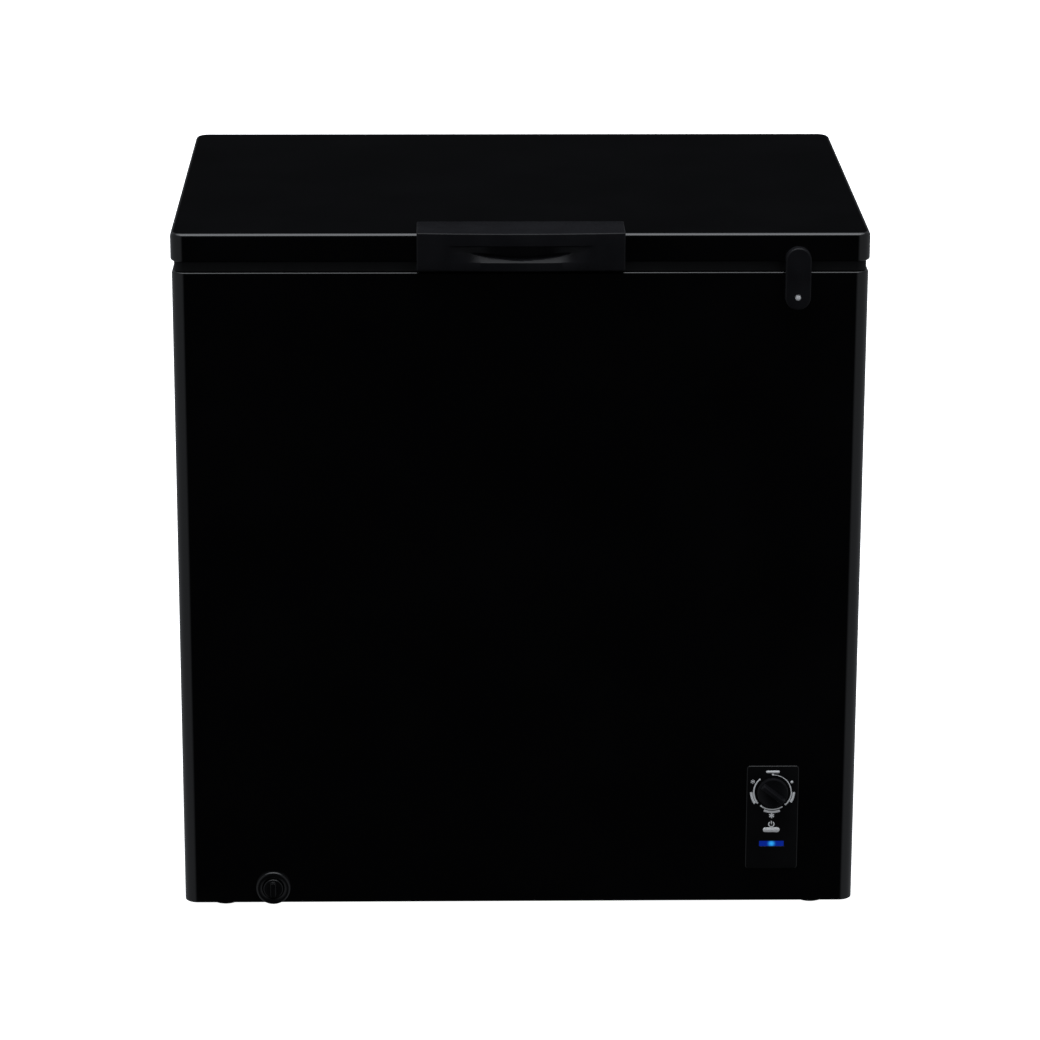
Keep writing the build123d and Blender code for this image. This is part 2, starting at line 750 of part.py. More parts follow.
def terminal_cover():
    side = can_y - can_radius
    box = block(can_x - 24, can_x + 24, side - 34, side + 8, can_z + 24, can_z + 68)
    box = fillet(box.edges().filter_by(Axis.Z), 4.0)
    return box - disc((can_x, can_y, can_z - 5), (0, 0, 1), can_radius + gap, can_height)


def discharge_tube():
    """From the can to the condenser, through the room's top."""
    y, z = can_y + 30, can_z + can_height * 0.3
    x = room_left + 8
    points = [(can_x - can_radius + 4, y, z), (x + 12, y, z), (x + 12, y, room_top - 20),
              (x + 12, y + 40, room_top - 20),
              (x + 12, y + 40, room_top - 1)]
    return tube(points, 3.0, 9.0) - disc((can_x, can_y, can_z), (0, 0, 1), can_radius + gap, can_height)


def suction_tube():
    y, z = can_y - 20, can_z + can_height * 0.3
    x = room_left + 8
    points = [(can_x - can_radius + 4, y, z), (x + 12, y, z), (x + 12, y, room_top - 32),
              (x + 12, y - 60, room_top - 32),
              (x + 12, y - 60, room_top - 1)]
    return tube(points, 4.0, 12.0) - disc((can_x, can_y, can_z), (0, 0, 1), can_radius + gap, can_height)


drier_x, drier_y = room_left + 20.0, can_y - 175.0


def filter_drier():
    z0, z1 = base + 60, base + 140
    body = disc((drier_x, drier_y, z0), (0, 0, 1), 9.5, z1 - z0)
    body = fillet(body.edges().filter_by(GeomType.CIRCLE), 6.0)
    return body + rod((drier_x, drier_y, z1 - 2), (drier_x, drier_y, room_top - 1), 2.5)


def capillary_tube():
    """A thin tube wound in a few loops below the drier, then up through the room's top."""
    radius, pitch, turns, coil_radius = 1.2, 4.0, 4, 22.0
    z = base + pan_sheet + 20
    points = [(drier_x, drier_y, base + 60 - gap / 2), (drier_x, drier_y, z + turns * pitch + 10)]
    corners = ((coil_radius, 0), (coil_radius, coil_radius), (-2, coil_radius), (-2, -2))
    cx, cy = drier_x, drier_y
    points.append((cx + 4, cy, z + turns * pitch))
    for turn in range(turns):
        for i, (dx, dy) in enumerate(corners):
            points.append((cx + 6 + dx, cy + dy, z + (turns - turn) * pitch - i * pitch / 4))
    points.append((cx + 6 + coil_radius + 14, cy - 12, z))
    points.append((cx + 6 + coil_radius + 14, cy - 12, room_top - 1))
    return tube(points, radius, 1.9)


def side_vent_grille():
    """A flush louvred grille clipped into the right side."""
    edge = 8.0
    face, inner = right, right - sheet
    plate = block(inner - 2.0, face, vent_y0 + gap, vent_y1 - gap, vent_z0 + gap, vent_z1 - gap)
    flange = block(inner - 2.0, inner - gap, vent_y0 - edge, vent_y1 + edge, vent_z0 - edge, vent_z1 + edge)
    grille = plate + flange
    count = 10
    pitch = (vent_z1 - vent_z0 - 12) / count
    for i in range(count):
        z = vent_z0 + 6 + pitch * (i + 0.5)
        middle = (vent_y0 + vent_y1) / 2
        for y0, y1 in ((vent_y0 + 8, middle - 3), (middle + 3, vent_y1 - 8)):
            grille -= block(right - 10, right + 5, y0, y1, z - pitch * 0.28, z + pitch * 0.28)
    return grille


def rear_cover():
    """The sheet over the machine room, slotted for air and bored for the mains lead's grommet."""
    cover = block(cover_x0, cover_x1, back + sheet, cover_seat, cover_z0, cover_z1)
    cover = fillet(cover.edges().filter_by(Axis.Y), 5.0)
    middle = (cover_x0 + cover_x1) / 2
    top_rows = slots(cover_x0 + 22, cover_x1 - 22, cover_z0 + 72, cover_z1 - 18, back, back + 4, 8, 5.0)
    for slot in top_rows:
        cover -= slot
    for slot in slots(middle + 6, cover_x1 - 22, cover_z0 + 16, cover_z0 + 66, back, back + 4, 4, 5.0):
        cover -= slot
    for place in cover_screws_at:
        cover -= screw_hole(place, (0, 1, 0), 10)
    return cover - disc((grommet_x, back, grommet_z), (0, 1, 0), grommet_bore + 2.5 + gap, 6)


def cord_grommet():
    """A rubber ring with a groove for the cover's edge."""
    y0, y1 = cover_seat - 4.0, cover_seat + 3.0
    ring = disc((grommet_x, y0, grommet_z), (0, 1, 0), grommet_bore + 5, y1 - y0)
    waist = disc((grommet_x, back + sheet - gap, grommet_z), (0, 1, 0), grommet_bore + 6, sheet + 2 * gap)
    waist -= disc((grommet_x, back, grommet_z), (0, 1, 0), grommet_bore + 2.5, 5)
    return ring - waist - disc((grommet_x, y0 - 1, grommet_z), (0, 1, 0), grommet_bore, 12)


def wiring_harness():
    """The held wires from the thermostat to the compressor's terminals."""
    y0 = thermostat_front + 42 + gap
    points = [
        (panel_x, y0, knob_z), (panel_x, y0 + 40, knob_z), (panel_x + 45, y0 + 80, knob_z - 20),
        (panel_x + 45, can_y - can_radius - 80, can_z + 46), (can_x, can_y - can_radius - 64, can_z + 46),
        (can_x, can_y - can_radius - 34 - gap, can_z + 46),
    ]
    return tube(points, 3.5, 12.0)


# ---------------------------------------------------------------- lid
gasket_outer = 4.0
gasket_inner = 24.0
skin_fold = 14.0
dart = 2.6


def lid_skin():
    skin = lid_form(0) - lid_form(sheet)
    half = lid_width / 2 - skin_fold
    skin -= rounded_block(
        -half, half, lid_front + skin_fold, lid_back - skin_fold, lid_low - 1, lid_low + 2, 4.0)
    for place in handle_screws_at + lock_screw_at:
        skin -= screw_hole(place, (0, -1, 0), 14)
    for place in leaf_screws:
        skin -= screw_hole(place, (0, 1, 0), 14)
    return skin


liner_flange = skin_fold + dart + 2 * gap
plug_inset = 34.0
plug_drop = 9.0  # inner panel below the lid's lower edge


def lid_panel_form(grow):
    """The pressed middle of the lid's inner panel, grown by grow."""
    half = lid_width / 2 - plug_inset + grow
    return rounded_block(
        -half, half, lid_front + plug_inset - grow, lid_back - plug_inset + grow,
                lid_low - plug_drop - grow,
        lid_low + plastic, 22.0 + grow, bottom=5.0 + grow,
    )


def lid_liner():
    """The inner panel: a flange behind the gasket, a pressed-out middle, and a shallow border groove in it."""
    half = lid_width / 2 - liner_flange
    thick = 1.5
    flange = rounded_block(
        -half, half, lid_front + liner_flange, lid_back - liner_flange, lid_low, lid_low + thick, 6.0)
    liner = flange + lid_panel_form(0)
    liner -= block(-half, half, lid_front, lid_back, lid_low + thick, lid_low + 10)
    liner -= lid_panel_form(-thick)
    return liner


def lid_foam():
    low = lid_low + 1.5
    foam = lid_form(sheet) - block(-lid_width, lid_width, lid_front - 1, lid_back + 1, lid_low - 1, low)
    foam += lid_panel_form(-1.5)
    foam -= lid_ring(skin_fold - gap, skin_fold + dart + gap, lid_low, lid_low + 8 + gap)
    for place in handle_screws_at + lock_screw_at:
        foam -= screw_hole(place, (0, -1, 0), 16)
    for place in leaf_screws:
        foam -= screw_hole(place, (0, 1, 0), 16)
    return foam


def lid_gasket():
    """The magnetic seal: a flat base, a hollow bulb under it, and the dart that holds it in the lid."""
    seal = lid_ring(gasket_outer, gasket_inner, rim + gap, lid_low)
    seal -= lid_ring(gasket_outer + 3, gasket_inner - 3, rim + gap + 4.5, lid_low - 2)
    return seal + lid_ring(skin_fold, skin_fold + dart, lid_low - 1, lid_low + 7)


def handle_plan(width, end_proud, mid_proud, behind):
    """A plan outline bowed forward: straight at the back, an arc in front."""
    half = width / 2
    y_end, y_mid = lid_front - end_proud, lid_front - mid_proud
    outline = [
        Line((-half, behind), (half, behind)),
        Line((half, behind), (half, y_end)),
        ThreePointArc((half, y_end), (0, y_mid), (-half, y_end)),
        Line((-half, y_end), (-half, behind)),
    ]
    return make_face(Wire(outline))


def grip_depth_arc(half, deep, side):
    """The scoop's plan: open in front, with an arc for its back wall."""
    y_front = lid_front - handle_proud_mid - 5
    return make_face(Wire([
        Line((-half, y_front), (half, y_front)),
        Line((half, y_front), (half, side)),
        ThreePointArc((half, side), (0, deep), (-half, side)),
        Line((-half, side), (-half, y_front)),
    ]))


def handle_scoop():
    """The finger scoop: straight below, with a lip that droops in the middle and a pocket behind it."""
    z0 = lid_low - handle_below + grip_low
    half = grip_width / 2
    deep = lid_front - handle_proud_mid + grip_depth
    y_front = lid_front - handle_proud_mid - 5
    opening = make_face(Wire([
        Line((-half, z0), (half, z0)),
        Line((half, z0), (half - grip_slant, z0 + grip_end)),
        ThreePointArc((half - grip_slant, z0 + grip_end), (0, z0 + grip_mid),
                      (-half + grip_slant, z0 + grip_end)),
        Line((-half + grip_slant, z0 + grip_end), (-half, z0)),
    ]))
    facing = Plane(origin=(0, y_front, 0), x_dir=(1, 0, 0), z_dir=(0, -1, 0))
    opening = extrude(facing * opening, -handle_back)
    side = lid_front - handle_proud_end + 0.5
    bay = Pos(0, 0, z0 - 1) * extrude(grip_depth_arc(half, deep, side), handle_back)
    pocket_half = half - 2.5 * grip_slant
    pocket = grip_depth_arc(pocket_half, deep - 2.0, deep - grip_depth * 0.5)
    lip = handle_plan(handle_width, handle_proud_end - lip_wall, handle_proud_mid - lip_wall, lid_front)
    high = lid_top + handle_above - lip_wall
    return (opening & bay) + Pos(0, 0, z0 + 3.0) * extrude(pocket & lip, high - z0 - 3.0)


def lid_handle():
    low = lid_low - handle_below
    high = lid_top + handle_above
    plan = handle_plan(handle_width, handle_proud_end, handle_proud_mid, lid_front - gap / 2)
    body = Pos(0, 0, low) * extrude(plan, high - low)
    body = fillet(body.edges().filter_by(Axis.Z).group_by(Axis.Y)[0], handle_corner)
    half = handle_width / 2
    plate = block(-half, half, lid_front - 3.0, lid_front + handle_back, lid_top + gap / 2, high)
    plate = fillet(plate.edges().filter_by(Axis.Z).group_by(Axis.Y)[-1], handle_corner)
    handle = body + plate - handle_scoop()
    for x, y, z in handle_screws_at:
        handle -= screw_hole((x, y, z), (0, -1, 0), 6)
        # A shaft from below lets the driver reach the screw.
        handle -= block(x - 5, x + 5, y - 6.5, y, low - 1, z + 5)
    return handle


def lid_front_screws():
    """The screws that hold the handle and the lock."""
    return group(screw(place, (0, -1, 0), 14.0) for place in handle_screws_at + lock_screw_at)


# ---------------------------------------------------------------- lock
cam_thick = 2.0
cam_front = lid_front - 5.0  # the cam's front face
cam_reach = 12.0
keeper_x0 = lock_x + 5.5
keeper_lip_z = key_z + 6.0


def lozenge(width, height, x, z, y0, y1):
    """An upright slab with round ends that faces Y."""
    flat = Plane(origin=(x, y1, z), x_dir=(1, 0, 0), z_dir=(0, -1, 0)) * SlotOverall(height, width, rotation=90)
    return extrude(flat, y1 - y0)


def lock_housing():
    middle = (lock_high + lock_low) / 2
    face = lid_front - lock_thick
    shell = lozenge(lock_width, lock_height, lock_x, middle, face, lid_front)
    shell = fillet(shell.faces().sort_by(Axis.Y)[0].edges(), 2.0)
    shell -= lozenge(lock_width - 2 * lock_wall, lock_height - 2 * lock_wall, lock_x, middle,
                     face + lock_wall, lid_front + 1)
    web = lozenge(lock_width - 1, lock_height - 1, lock_x, middle, lid_front - lock_wall, lid_front)
    web &= block(lock_x - 30, lock_x + 30, lid_front - lock_wall, lid_front, lid_low + 1, lock_high)
    shell += web
    shell += disc((lock_x, face + 1, key_z), (0, 1, 0), key_radius + 2.5, lock_thick - 6.0)
    shell -= disc((lock_x, face - 1, key_z), (0, 1, 0), key_radius + running, lock_thick)
    # The rim is notched where the keeper passes as the lid lifts.
    shell -= block(keeper_x0 - 1.2, lock_x + lock_width, cam_front - 0.4, lid_front + 1, lock_low - 1, key_z)
    for place in lock_screw_at:
        shell -= screw_hole(place, (0, -1, 0), 6)
        shell -= disc(place, (0, -1, 0), screw_head + 0.6, lock_thick - lock_wall - lock_wall)
    return shell


def lock_cylinder():
    """The key barrel, with its slot."""
    face = lid_front - lock_thick
    barrel = disc((lock_x, face + 0.4, key_z), (0, 1, 0), key_radius, cam_front - face - 0.4)
    barrel -= block(lock_x - 0.5, lock_x + 0.5, face - 1, face + 4, key_z - 2.6, key_z + 2.6)
    return barrel + disc((lock_x, cam_front, key_z), (0, 1, 0), 2.0, cam_thick + 1.0)


def lock_cam():
    """The tongue on the barrel. It hangs down when unlocked, and turns under the keeper's lip."""
    y0, y1 = cam_front + gap / 2, cam_front + cam_thick
    tongue = block(lock_x - 3.2, lock_x + 3.2, y0, y1, key_z - cam_reach, key_z)
    tongue = fillet(tongue.edges().filter_by(Axis.Y).group_by(Axis.Z)[0], 2.0)
    tongue += disc((lock_x, cam_front + gap / 2, key_z), (0, 1, 0), 4.2, cam_thick - gap / 2)
    return tongue - disc((lock_x, cam_front - 1, key_z), (0, 1, 0), 2.0 + running / 2, 6)


def lock_keeper():
    """The hooked plate on the cabinet's front that the cam turns under."""
    thick = 1.5
    plate = block(lock_x - 11, lock_x + 11, front - thick, front, keeper_high - 10, keeper_high)
    leg = block(keeper_x0, keeper_x0 + 5.5, front - thick, front, keeper_lip_z, keeper_high - 5)
    lip = block(keeper_x0, keeper_x0 + 5.5, cam_front, front, keeper_lip_z, keeper_lip_z + thick)
    keeper = plate + leg + lip
    for place in keeper_screws_at:
        keeper -= screw_hole(place, (0, -1, 0), 6)
    return keeper


def keeper_screws():
    return group(screw(place, (0, -1, 0), 9.0) for place in keeper_screws_at)


# ---------------------------------------------------------------- hinges
crank_at = 40.0  # degrees below level at rest, half of what the lid opens
crank_y = pivot_y - crank * cos(radians(crank_at))
crank_z = pivot_z - crank * sin(radians(crank_at))
crank_pin = 2.0
rod_y = (crank_y + pivot_y - crank) / 2
spring_seat = crank_z - rod_length  # upper face of the brackets' tabs


def hinge_brackets():
    """Channels on the cabinet's back. Ears carry the pins, and a tab at the foot holds the spring."""
    def bracket(x):
        half = bracket_width / 2
        y0 = back + sheet
        high = bracket_low + bracket_height
        plate = block(x - half, x + half, y0, y0 + bracket_sheet, bracket_low, high)
        y1 = pivot_y + ear_radius
        ears = []
        for side in (-1, 1):
            x0, x1 = sorted((x + side * half, x + side * (half - bracket_sheet)))
            ear = block(x0, x1, y0, y1, bracket_low + 30, high)
            ear += block(x0, x1, pivot_y - ear_radius, y1, high - 1, pivot_z)
            ear += disc((x0, pivot_y, pivot_z), (1, 0, 0), ear_radius, x1 - x0)
            ears.append(ear)
        tab = block(x - half, x + half, y0, y1, spring_seat - bracket_sheet, spring_seat)
        body = plate + ears + tab
        body -= disc((x, rod_y, spring_seat - 20), (0, 0, 1), rod_radius + sliding, 40)
        body -= disc((x - half - 1, pivot_y, pivot_z), (1, 0, 0), pin_radius + running, bracket_width + 2)
        for place in bracket_screws:
            body -= screw_hole(place, (0, 1, 0), 10)
        return body

    return group(bracket(side * hinge_at) for side in (-1, 1))


def hinge_leaves():
    """Plates on the lid's back with ears on the pin, and the cross pin that drives the spring rod."""
    def leaf(x):
        half = leaf_width / 2
        y0 = lid_back
        z0, z1 = lid_low + 2.0, lid_low + 2.0 + leaf_height
        plate = block(x - half, x + half, y0, y0 + bracket_sheet, z0, z1)
        ears = []
        for side in (-1, 1):
            x0, x1 = sorted((x + side * half, x + side * (half - bracket_sheet)))
            ear = block(x0, x1, y0, pivot_y + 3, pivot_z + 2, z0 + 14)
            ear += disc((x0, pivot_y, pivot_z), (1, 0, 0), ear_radius - 0.5, x1 - x0)
            ear += rod_link(x0, x1)
            ears.append(ear)
        cross = rod((x - half, crank_y, crank_z), (x + half, crank_y, crank_z), crank_pin)
        body = plate + ears
        body -= disc((x - half - 1, pivot_y, pivot_z), (1, 0, 0), pin_radius + running, leaf_width + 2)
        body += cross
        for place in leaf_screws:
            body -= screw_hole(place, (0, 1, 0), 10)
        return body

    return group(leaf(side * hinge_at) for side in (-1, 1))


def rod_link(x0, x1):
    """The crank arm of a leaf's ear, from the pivot to the cross pin."""
    arm = disc((x0, crank_y, crank_z), (1, 0, 0), crank_pin + 2.0, x1 - x0)
    middle = ((crank_y + pivot_y) / 2, (crank_z + pivot_z) / 2)
    bar = Pos((x0 + x1) / 2, middle[0], middle[1]) * Rot(crank_at, 0, 0) * Box(x1 - x0, crank, 2 * crank_pin + 3)
    return arm + bar


def hinge_pins():
    def pin(x):
        half = bracket_width / 2 + 1.5
        body = disc((x - half, pivot_y, pivot_z), (1, 0, 0), pin_radius, 2 * half)
        return body + disc((x - half - 1.5, pivot_y, pivot_z), (1, 0, 0), pin_radius + 1.5, 1.4)

    return group(pin(side * hinge_at) for side in (-1, 1))


def hinge_rods():
    """The spring rods: a slotted head on the leaf's cross pin, a cup over the spring, and a guided tail."""
    def spring_rod(x):
        slot_half = (crank * (1 - cos(radians(crank_at)))) / 2 + crank_pin + 0.6
        head = block(x - 2, x + 2, rod_y - slot_half - 2.2, rod_y + slot_half + 2.2, crank_z - 12, crank_z + 5.5)
        slot = block(x - 3, x + 3, rod_y - slot_half, rod_y + slot_half, crank_z - crank_pin - 0.45,
                     crank_z + crank_pin + 0.45)
        body = head - slot
        cup_top = spring_seat + spring_length + 2 * gap + cup_sheet
        body += rod((x, rod_y, spring_seat - rod_tail), (x, rod_y, crank_z - 10), rod_radius)
        cup_radius = spring_radius + spring_wire / 2 + 0.3 + cup_sheet
        body += disc((x, rod_y, cup_top), (0, 0, -1), cup_radius, cup_length) - disc(
            (x, rod_y, cup_top - cup_sheet), (0, 0, -1), cup_radius - cup_sheet, cup_length)
        return body

    return group(spring_rod(side * hinge_at) for side in (-1, 1))


def hinge_springs():
    """Closed rings stand in for the turns, so that each spring is a simple stack."""
    turns = 12
    pitch = (spring_length - spring_wire) / (turns - 1)
    rings = []
    for side in (-1, 1):
        for i in range(turns):
            z = spring_seat + gap + spring_wire / 2 + i * pitch
            rings.append(Pos(side * hinge_at, rod_y, z) * Torus(spring_radius, spring_wire / 2))
    return group(rings)


# ---------------------------------------------------------------- basket
basket_x0 = inner_left + basket_clear
basket_x1 = basket_x0 + basket_width
hang = (ledge_inset + wall) / 2  # inset of the wires that rest on the ledges
basket_y0, basket_y1 = front + hang, back - hang
body_y0, body_y1 = inner_front + 12.0, inner_back - 12.0
rim_z = ledge + rim_wire + gap
cross_z = rim_z - rim_wire - belt_wire - 0.05
basket_floor = rim_z - basket_height


def spread(low, high, count):
    """Evenly spaced places, both ends included."""
    return [low + (high - low) * i / (count - 1) for i in range(count)]


def basket_rim():
    """The heavy top wire, a closed ring whose ends rest on the ledges."""
    bend = 14.0
    outer = rounded_block(basket_x0, basket_x1, basket_y0, basket_y1, 0, 1, bend)
    path = outer.faces().sort_by(Axis.Z)[0].outer_wire().moved(Location((0, 0, rim_z)))
    start = path @ 0
    return sweep(Plane(origin=start, z_dir=path % 0) * Circle(rim_wire), path=path)


def basket_wires():
    """Uprights, a belt, cross bars and the floor, as separate straight wires."""
    inset = rim_wire + mesh_wire + 0.05
    xs, xe = basket_x0 + inset, basket_x1 - inset
    ys, ye = body_y0, body_y1
    reach = belt_wire + mesh_wire + 0.05
    floor_top = basket_floor + mesh_wire + 0.05
    wires = []
    for y in (ys, ye):
        wires.append(rod((basket_x0 + inset + 2, y, cross_z), (basket_x1 - inset - 2, y, cross_z), belt_wire))
    for y in spread(ys + 14, ye - 14, side_wires):
        for x in (xs, xe):
            wires.append(rod((x, y, floor_top), (x, y, rim_z + 1.5), mesh_wire))
        wires.append(rod((xs - mesh_wire, y, basket_floor), (xe + mesh_wire, y, basket_floor), mesh_wire))
    low = basket_floor - 2 * mesh_wire - 0.05
    for x in spread(xs + 24, xe - 24, end_wires):
        for y, side in ((ys + reach, 1), (ye - reach, -1)):
            wires.append(rod((x, y, low + mesh_wire + 0.05), (x, y, cross_z + 1), mesh_wire))
        wires.append(rod((x, ys, low), (x, ye, low), mesh_wire))
    return group(wires + basket_belt())


def basket_belt():
    """The middle ring, as four wires outside the uprights."""
    inset = rim_wire + mesh_wire + 0.05
    out = mesh_wire + belt_wire + 0.05
    xs, xe = basket_x0 + inset - out, basket_x1 - inset + out
    reach = belt_wire + mesh_wire + 0.05
    ys, ye = body_y0 + reach - out, body_y1 - reach + out
    z = basket_floor + basket_height * 0.45
    return [
        rod((xs, ys + belt_wire + 0.1, z), (xs, ye - belt_wire - 0.1, z), belt_wire),
        rod((xe, ys + belt_wire + 0.1, z), (xe, ye - belt_wire - 0.1, z), belt_wire),
        rod((xs - belt_wire, ys, z), (xe + belt_wire, ys, z), belt_wire),
        rod((xs - belt_wire, ye, z), (xe + belt_wire, ye, z), belt_wire),
    ]


PARTS = {
    "outer_shell": outer_shell, "back_panel": back_panel, "base_pan": base_pan, "feet": feet,
    "foot_screws": foot_screws, "machine_room_liner": room_liner, "cabinet_foam": cabinet_foam,
    "inner_liner": inner_liner, "top_collar": top_collar,
    "evaporator_coil": lambda: coil(evaporator_levels, evaporator_inset, evaporator_tube),
    "condenser_coil": lambda: coil(condenser_levels, condenser_inset, condenser_tube),
    "back_panel_screws": lambda: group(
        screw(p, (0, 1, 0), 8.0) for p in back_panel_screws_at + cover_screws_at),
    "drain_pipe": drain_pipe, "floor_drain_bush": floor_drain_bush, "floor_drain_plug": floor_drain_plug,
    "drain_bezel": drain_bezel, "drain_spout": drain_spout, "drain_o_ring": drain_o_ring,
    "drain_dial": drain_dial,
    "control_panel": control_panel, "control_panel_screws":
        lambda: group(screw(p, (0, 1, 0), 9.0) for p in panel_screws_at),
    "indicator_window": indicator_window, "indicator_lamp": indicator_lamp, "thermostat": thermostat,
    "thermostat_knob": thermostat_knob,
    "compressor_lower_shell": lambda: compressor_half(False),
    "compressor_upper_shell": lambda: compressor_half(True),
    "compressor_mounts": compressor_mounts, "compressor_bolts": compressor_bolts,
    "compressor_stator": compressor_stator, "compressor_frame": compressor_frame,
    "compressor_rotor": compressor_rotor, "compressor_terminal_cover": terminal_cover,
    "refrigerant_tubes": lambda: group([discharge_tube(), suction_tube()]), "filter_drier": filter_drier,
    "capillary_tube": capillary_tube, "side_vent_grille": side_vent_grille, "rear_cover": rear_cover,
    "cord_grommet": cord_grommet, "wiring_harness": wiring_harness,
    "lid_skin": lid_skin, "lid_liner": lid_liner, "lid_foam": lid_foam, "lid_gasket": lid_gasket,
    "lid_handle": lid_handle, "lid_front_screws": lid_front_screws,
    "lock_housing": lock_housing, "lock_cylinder": lock_cylinder, "lock_cam": lock_cam,
    "lock_keeper": lock_keeper, "keeper_screws": keeper_screws,
    "hinge_brackets": hinge_brackets, "hinge_leaves": hinge_leaves, "hinge_pins": hinge_pins,
    "hinge_rods": hinge_rods, "hinge_springs": hinge_springs,
    "hinge_screws": lambda: group(screw(p, (0, 1, 0), 12.0) for p in bracket_screws),
    "leaf_screws": lambda: group(screw(p, (0, 1, 0), 12.0) for p in leaf_screws),
    "basket_rim": basket_rim, "basket_wires": basket_wires,
}

if __name__ == "__main__":
    os.makedirs("parts", exist_ok=True)
    for name, build in PARTS.items():
        export_step(build(), f"parts/{name}.step")
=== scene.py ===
# %% [markdown]
# # A black chest freezer
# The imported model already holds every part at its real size. This lesson gives those parts their finish. It
# also makes again, in finer detail, the pieces whose edges and curves catch the light: the painted shells,
# the handle, the knob, the drain, the springs and the wire basket. Lengths are in metres, +Z is up, and the
# front of the freezer looks towards -Y.

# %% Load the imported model
import json
import math

import bmesh
import bpy
from mathutils import Matrix, Vector


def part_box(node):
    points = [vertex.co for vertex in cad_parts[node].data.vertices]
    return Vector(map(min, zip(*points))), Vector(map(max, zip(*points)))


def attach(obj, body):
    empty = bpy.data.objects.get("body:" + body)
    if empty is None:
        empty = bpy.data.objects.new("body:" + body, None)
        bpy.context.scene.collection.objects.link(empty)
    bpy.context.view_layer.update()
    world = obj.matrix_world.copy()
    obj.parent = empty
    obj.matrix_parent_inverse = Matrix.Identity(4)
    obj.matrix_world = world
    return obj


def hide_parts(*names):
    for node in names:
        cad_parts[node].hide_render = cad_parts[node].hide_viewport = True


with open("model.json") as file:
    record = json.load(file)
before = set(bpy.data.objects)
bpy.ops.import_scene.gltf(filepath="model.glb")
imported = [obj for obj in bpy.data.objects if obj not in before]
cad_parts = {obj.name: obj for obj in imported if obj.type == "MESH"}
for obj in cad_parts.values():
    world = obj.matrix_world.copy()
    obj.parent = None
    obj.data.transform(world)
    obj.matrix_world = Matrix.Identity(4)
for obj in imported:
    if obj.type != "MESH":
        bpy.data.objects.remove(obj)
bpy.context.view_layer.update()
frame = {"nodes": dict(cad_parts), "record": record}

nodes = frame["nodes"]
mm = 0.001
lid_low, lid_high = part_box("lid_skin")
shell_low, shell_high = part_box("outer_shell")

# %% [markdown]
# ## Shader maths as Python
# A finish is a small network of nodes. Wiring them one by one hides the idea, so this class wraps a socket
# and lets ordinary Python operators add the Math nodes. A finish starts as one Principled shader, and every
# pattern on it reads Object coordinates, which are metres from the freezer's own origin.


# %% A value that flows from a shader socket
class Value:
    """A number, colour or vector on its way through a finish."""

    def __init__(self, finish, socket):
        self.finish = finish
        self.socket = socket

    def math(self, operation, first, second=0.0):
        return self.finish.node("ShaderNodeMath", {"operation": operation}, {0: first, 1: second})

    def __add__(self, other):
        return self.math("ADD", self, other)

    __radd__ = __add__

    def __sub__(self, other):
        return self.math("SUBTRACT", self, other)

    def __rsub__(self, other):
        return self.math("SUBTRACT", other, self)

    def __mul__(self, other):
        return self.math("MULTIPLY", self, other)

    __rmul__ = __mul__

    def __pow__(self, other):
        return self.math("POWER", self, other)

    def __abs__(self):
        return self.math("ABSOLUTE", self)


class Network:
    """A node tree, and the means to add to it."""

    def __init__(self, owner):
        owner.use_nodes = True
        self.tree = owner.node_tree

    def node(self, kind, settings=None, inputs=None, output=0):
        """Adds one node. Its settings go in first, then the values or links of its sockets."""
        made = self.tree.nodes.new(kind)
        for key, value in (settings or {}).items():
            setattr(made, key, value)
        for key, value in (inputs or {}).items():
            self.feed(made.inputs[key], value)
        return Value(self, made.outputs[output])

    def feed(self, socket, value):
        if isinstance(value, Value):
            self.tree.links.new(value.socket, socket)
        else:
            socket.default_value = value

    def steps(self, value, low, high, smooth=False):
        """value, spread so that low becomes 0 and high becomes 1."""
        kind = {"interpolation_type": "SMOOTHSTEP" if smooth else "LINEAR"}
        return self.node("ShaderNodeMapRange", kind, {"Value": value, "From Min": low, "From Max": high})

    def colours(self, factor, first, second):
        """A blend of two colours."""
        return self.node(
            "ShaderNodeMix", {"data_type": "RGBA"}, {0: factor, 6: (*first, 1.0), 7: (*second, 1.0)}, 2
        )


class Finish(Network):
    """A material with one Principled shader, and the means to draw on it."""

    def __init__(self, name, metallic=0.0, specular=0.5, coat=0.0, coat_roughness=0.1):
        self.material = bpy.data.materials.new(name)
        super().__init__(self.material)
        self.shader = self.tree.nodes["Principled BSDF"]
        for socket, value in {
            "Metallic": metallic,
            "Specular IOR Level": specular,
            "Coat Weight": coat,
            "Coat Roughness": coat_roughness,
        }.items():
            self.shader.inputs[socket].default_value = value
        self.place = self.node("ShaderNodeTexCoord", output="Object")

    def set(self, **sockets):
        """Feeds the shader's own sockets: base_color for Base Color, and so on."""
        for name, value in sockets.items():
            self.feed(self.shader.inputs[name.replace("_", " ").title()], value)
        return self

    def noise(self, scale, detail=2.0, stretch=(1.0, 1.0, 1.0)):
        """Soft random cloud. scale is in features per metre."""
        at = self.node("ShaderNodeMapping", inputs={"Vector": self.place, "Scale": stretch})
        return self.node("ShaderNodeTexNoise", inputs={"Vector": at, "Scale": scale, "Detail": detail})

    def cells(self, scale, feature="F1"):
        """Random cells, as in zinc spangle or a hammered sheet."""
        return self.node(
            "ShaderNodeTexVoronoi", {"feature": feature}, {"Vector": self.place, "Scale": scale}, "Distance"
        )

    def relief(self, height, depth):
        """Turns a height from 0 to 1 into a bump of that depth in metres."""
        bump = self.node("ShaderNodeBump", inputs={"Height": height, "Distance": depth, "Strength": 1.0})
        self.feed(self.shader.inputs["Normal"], bump)
        return self


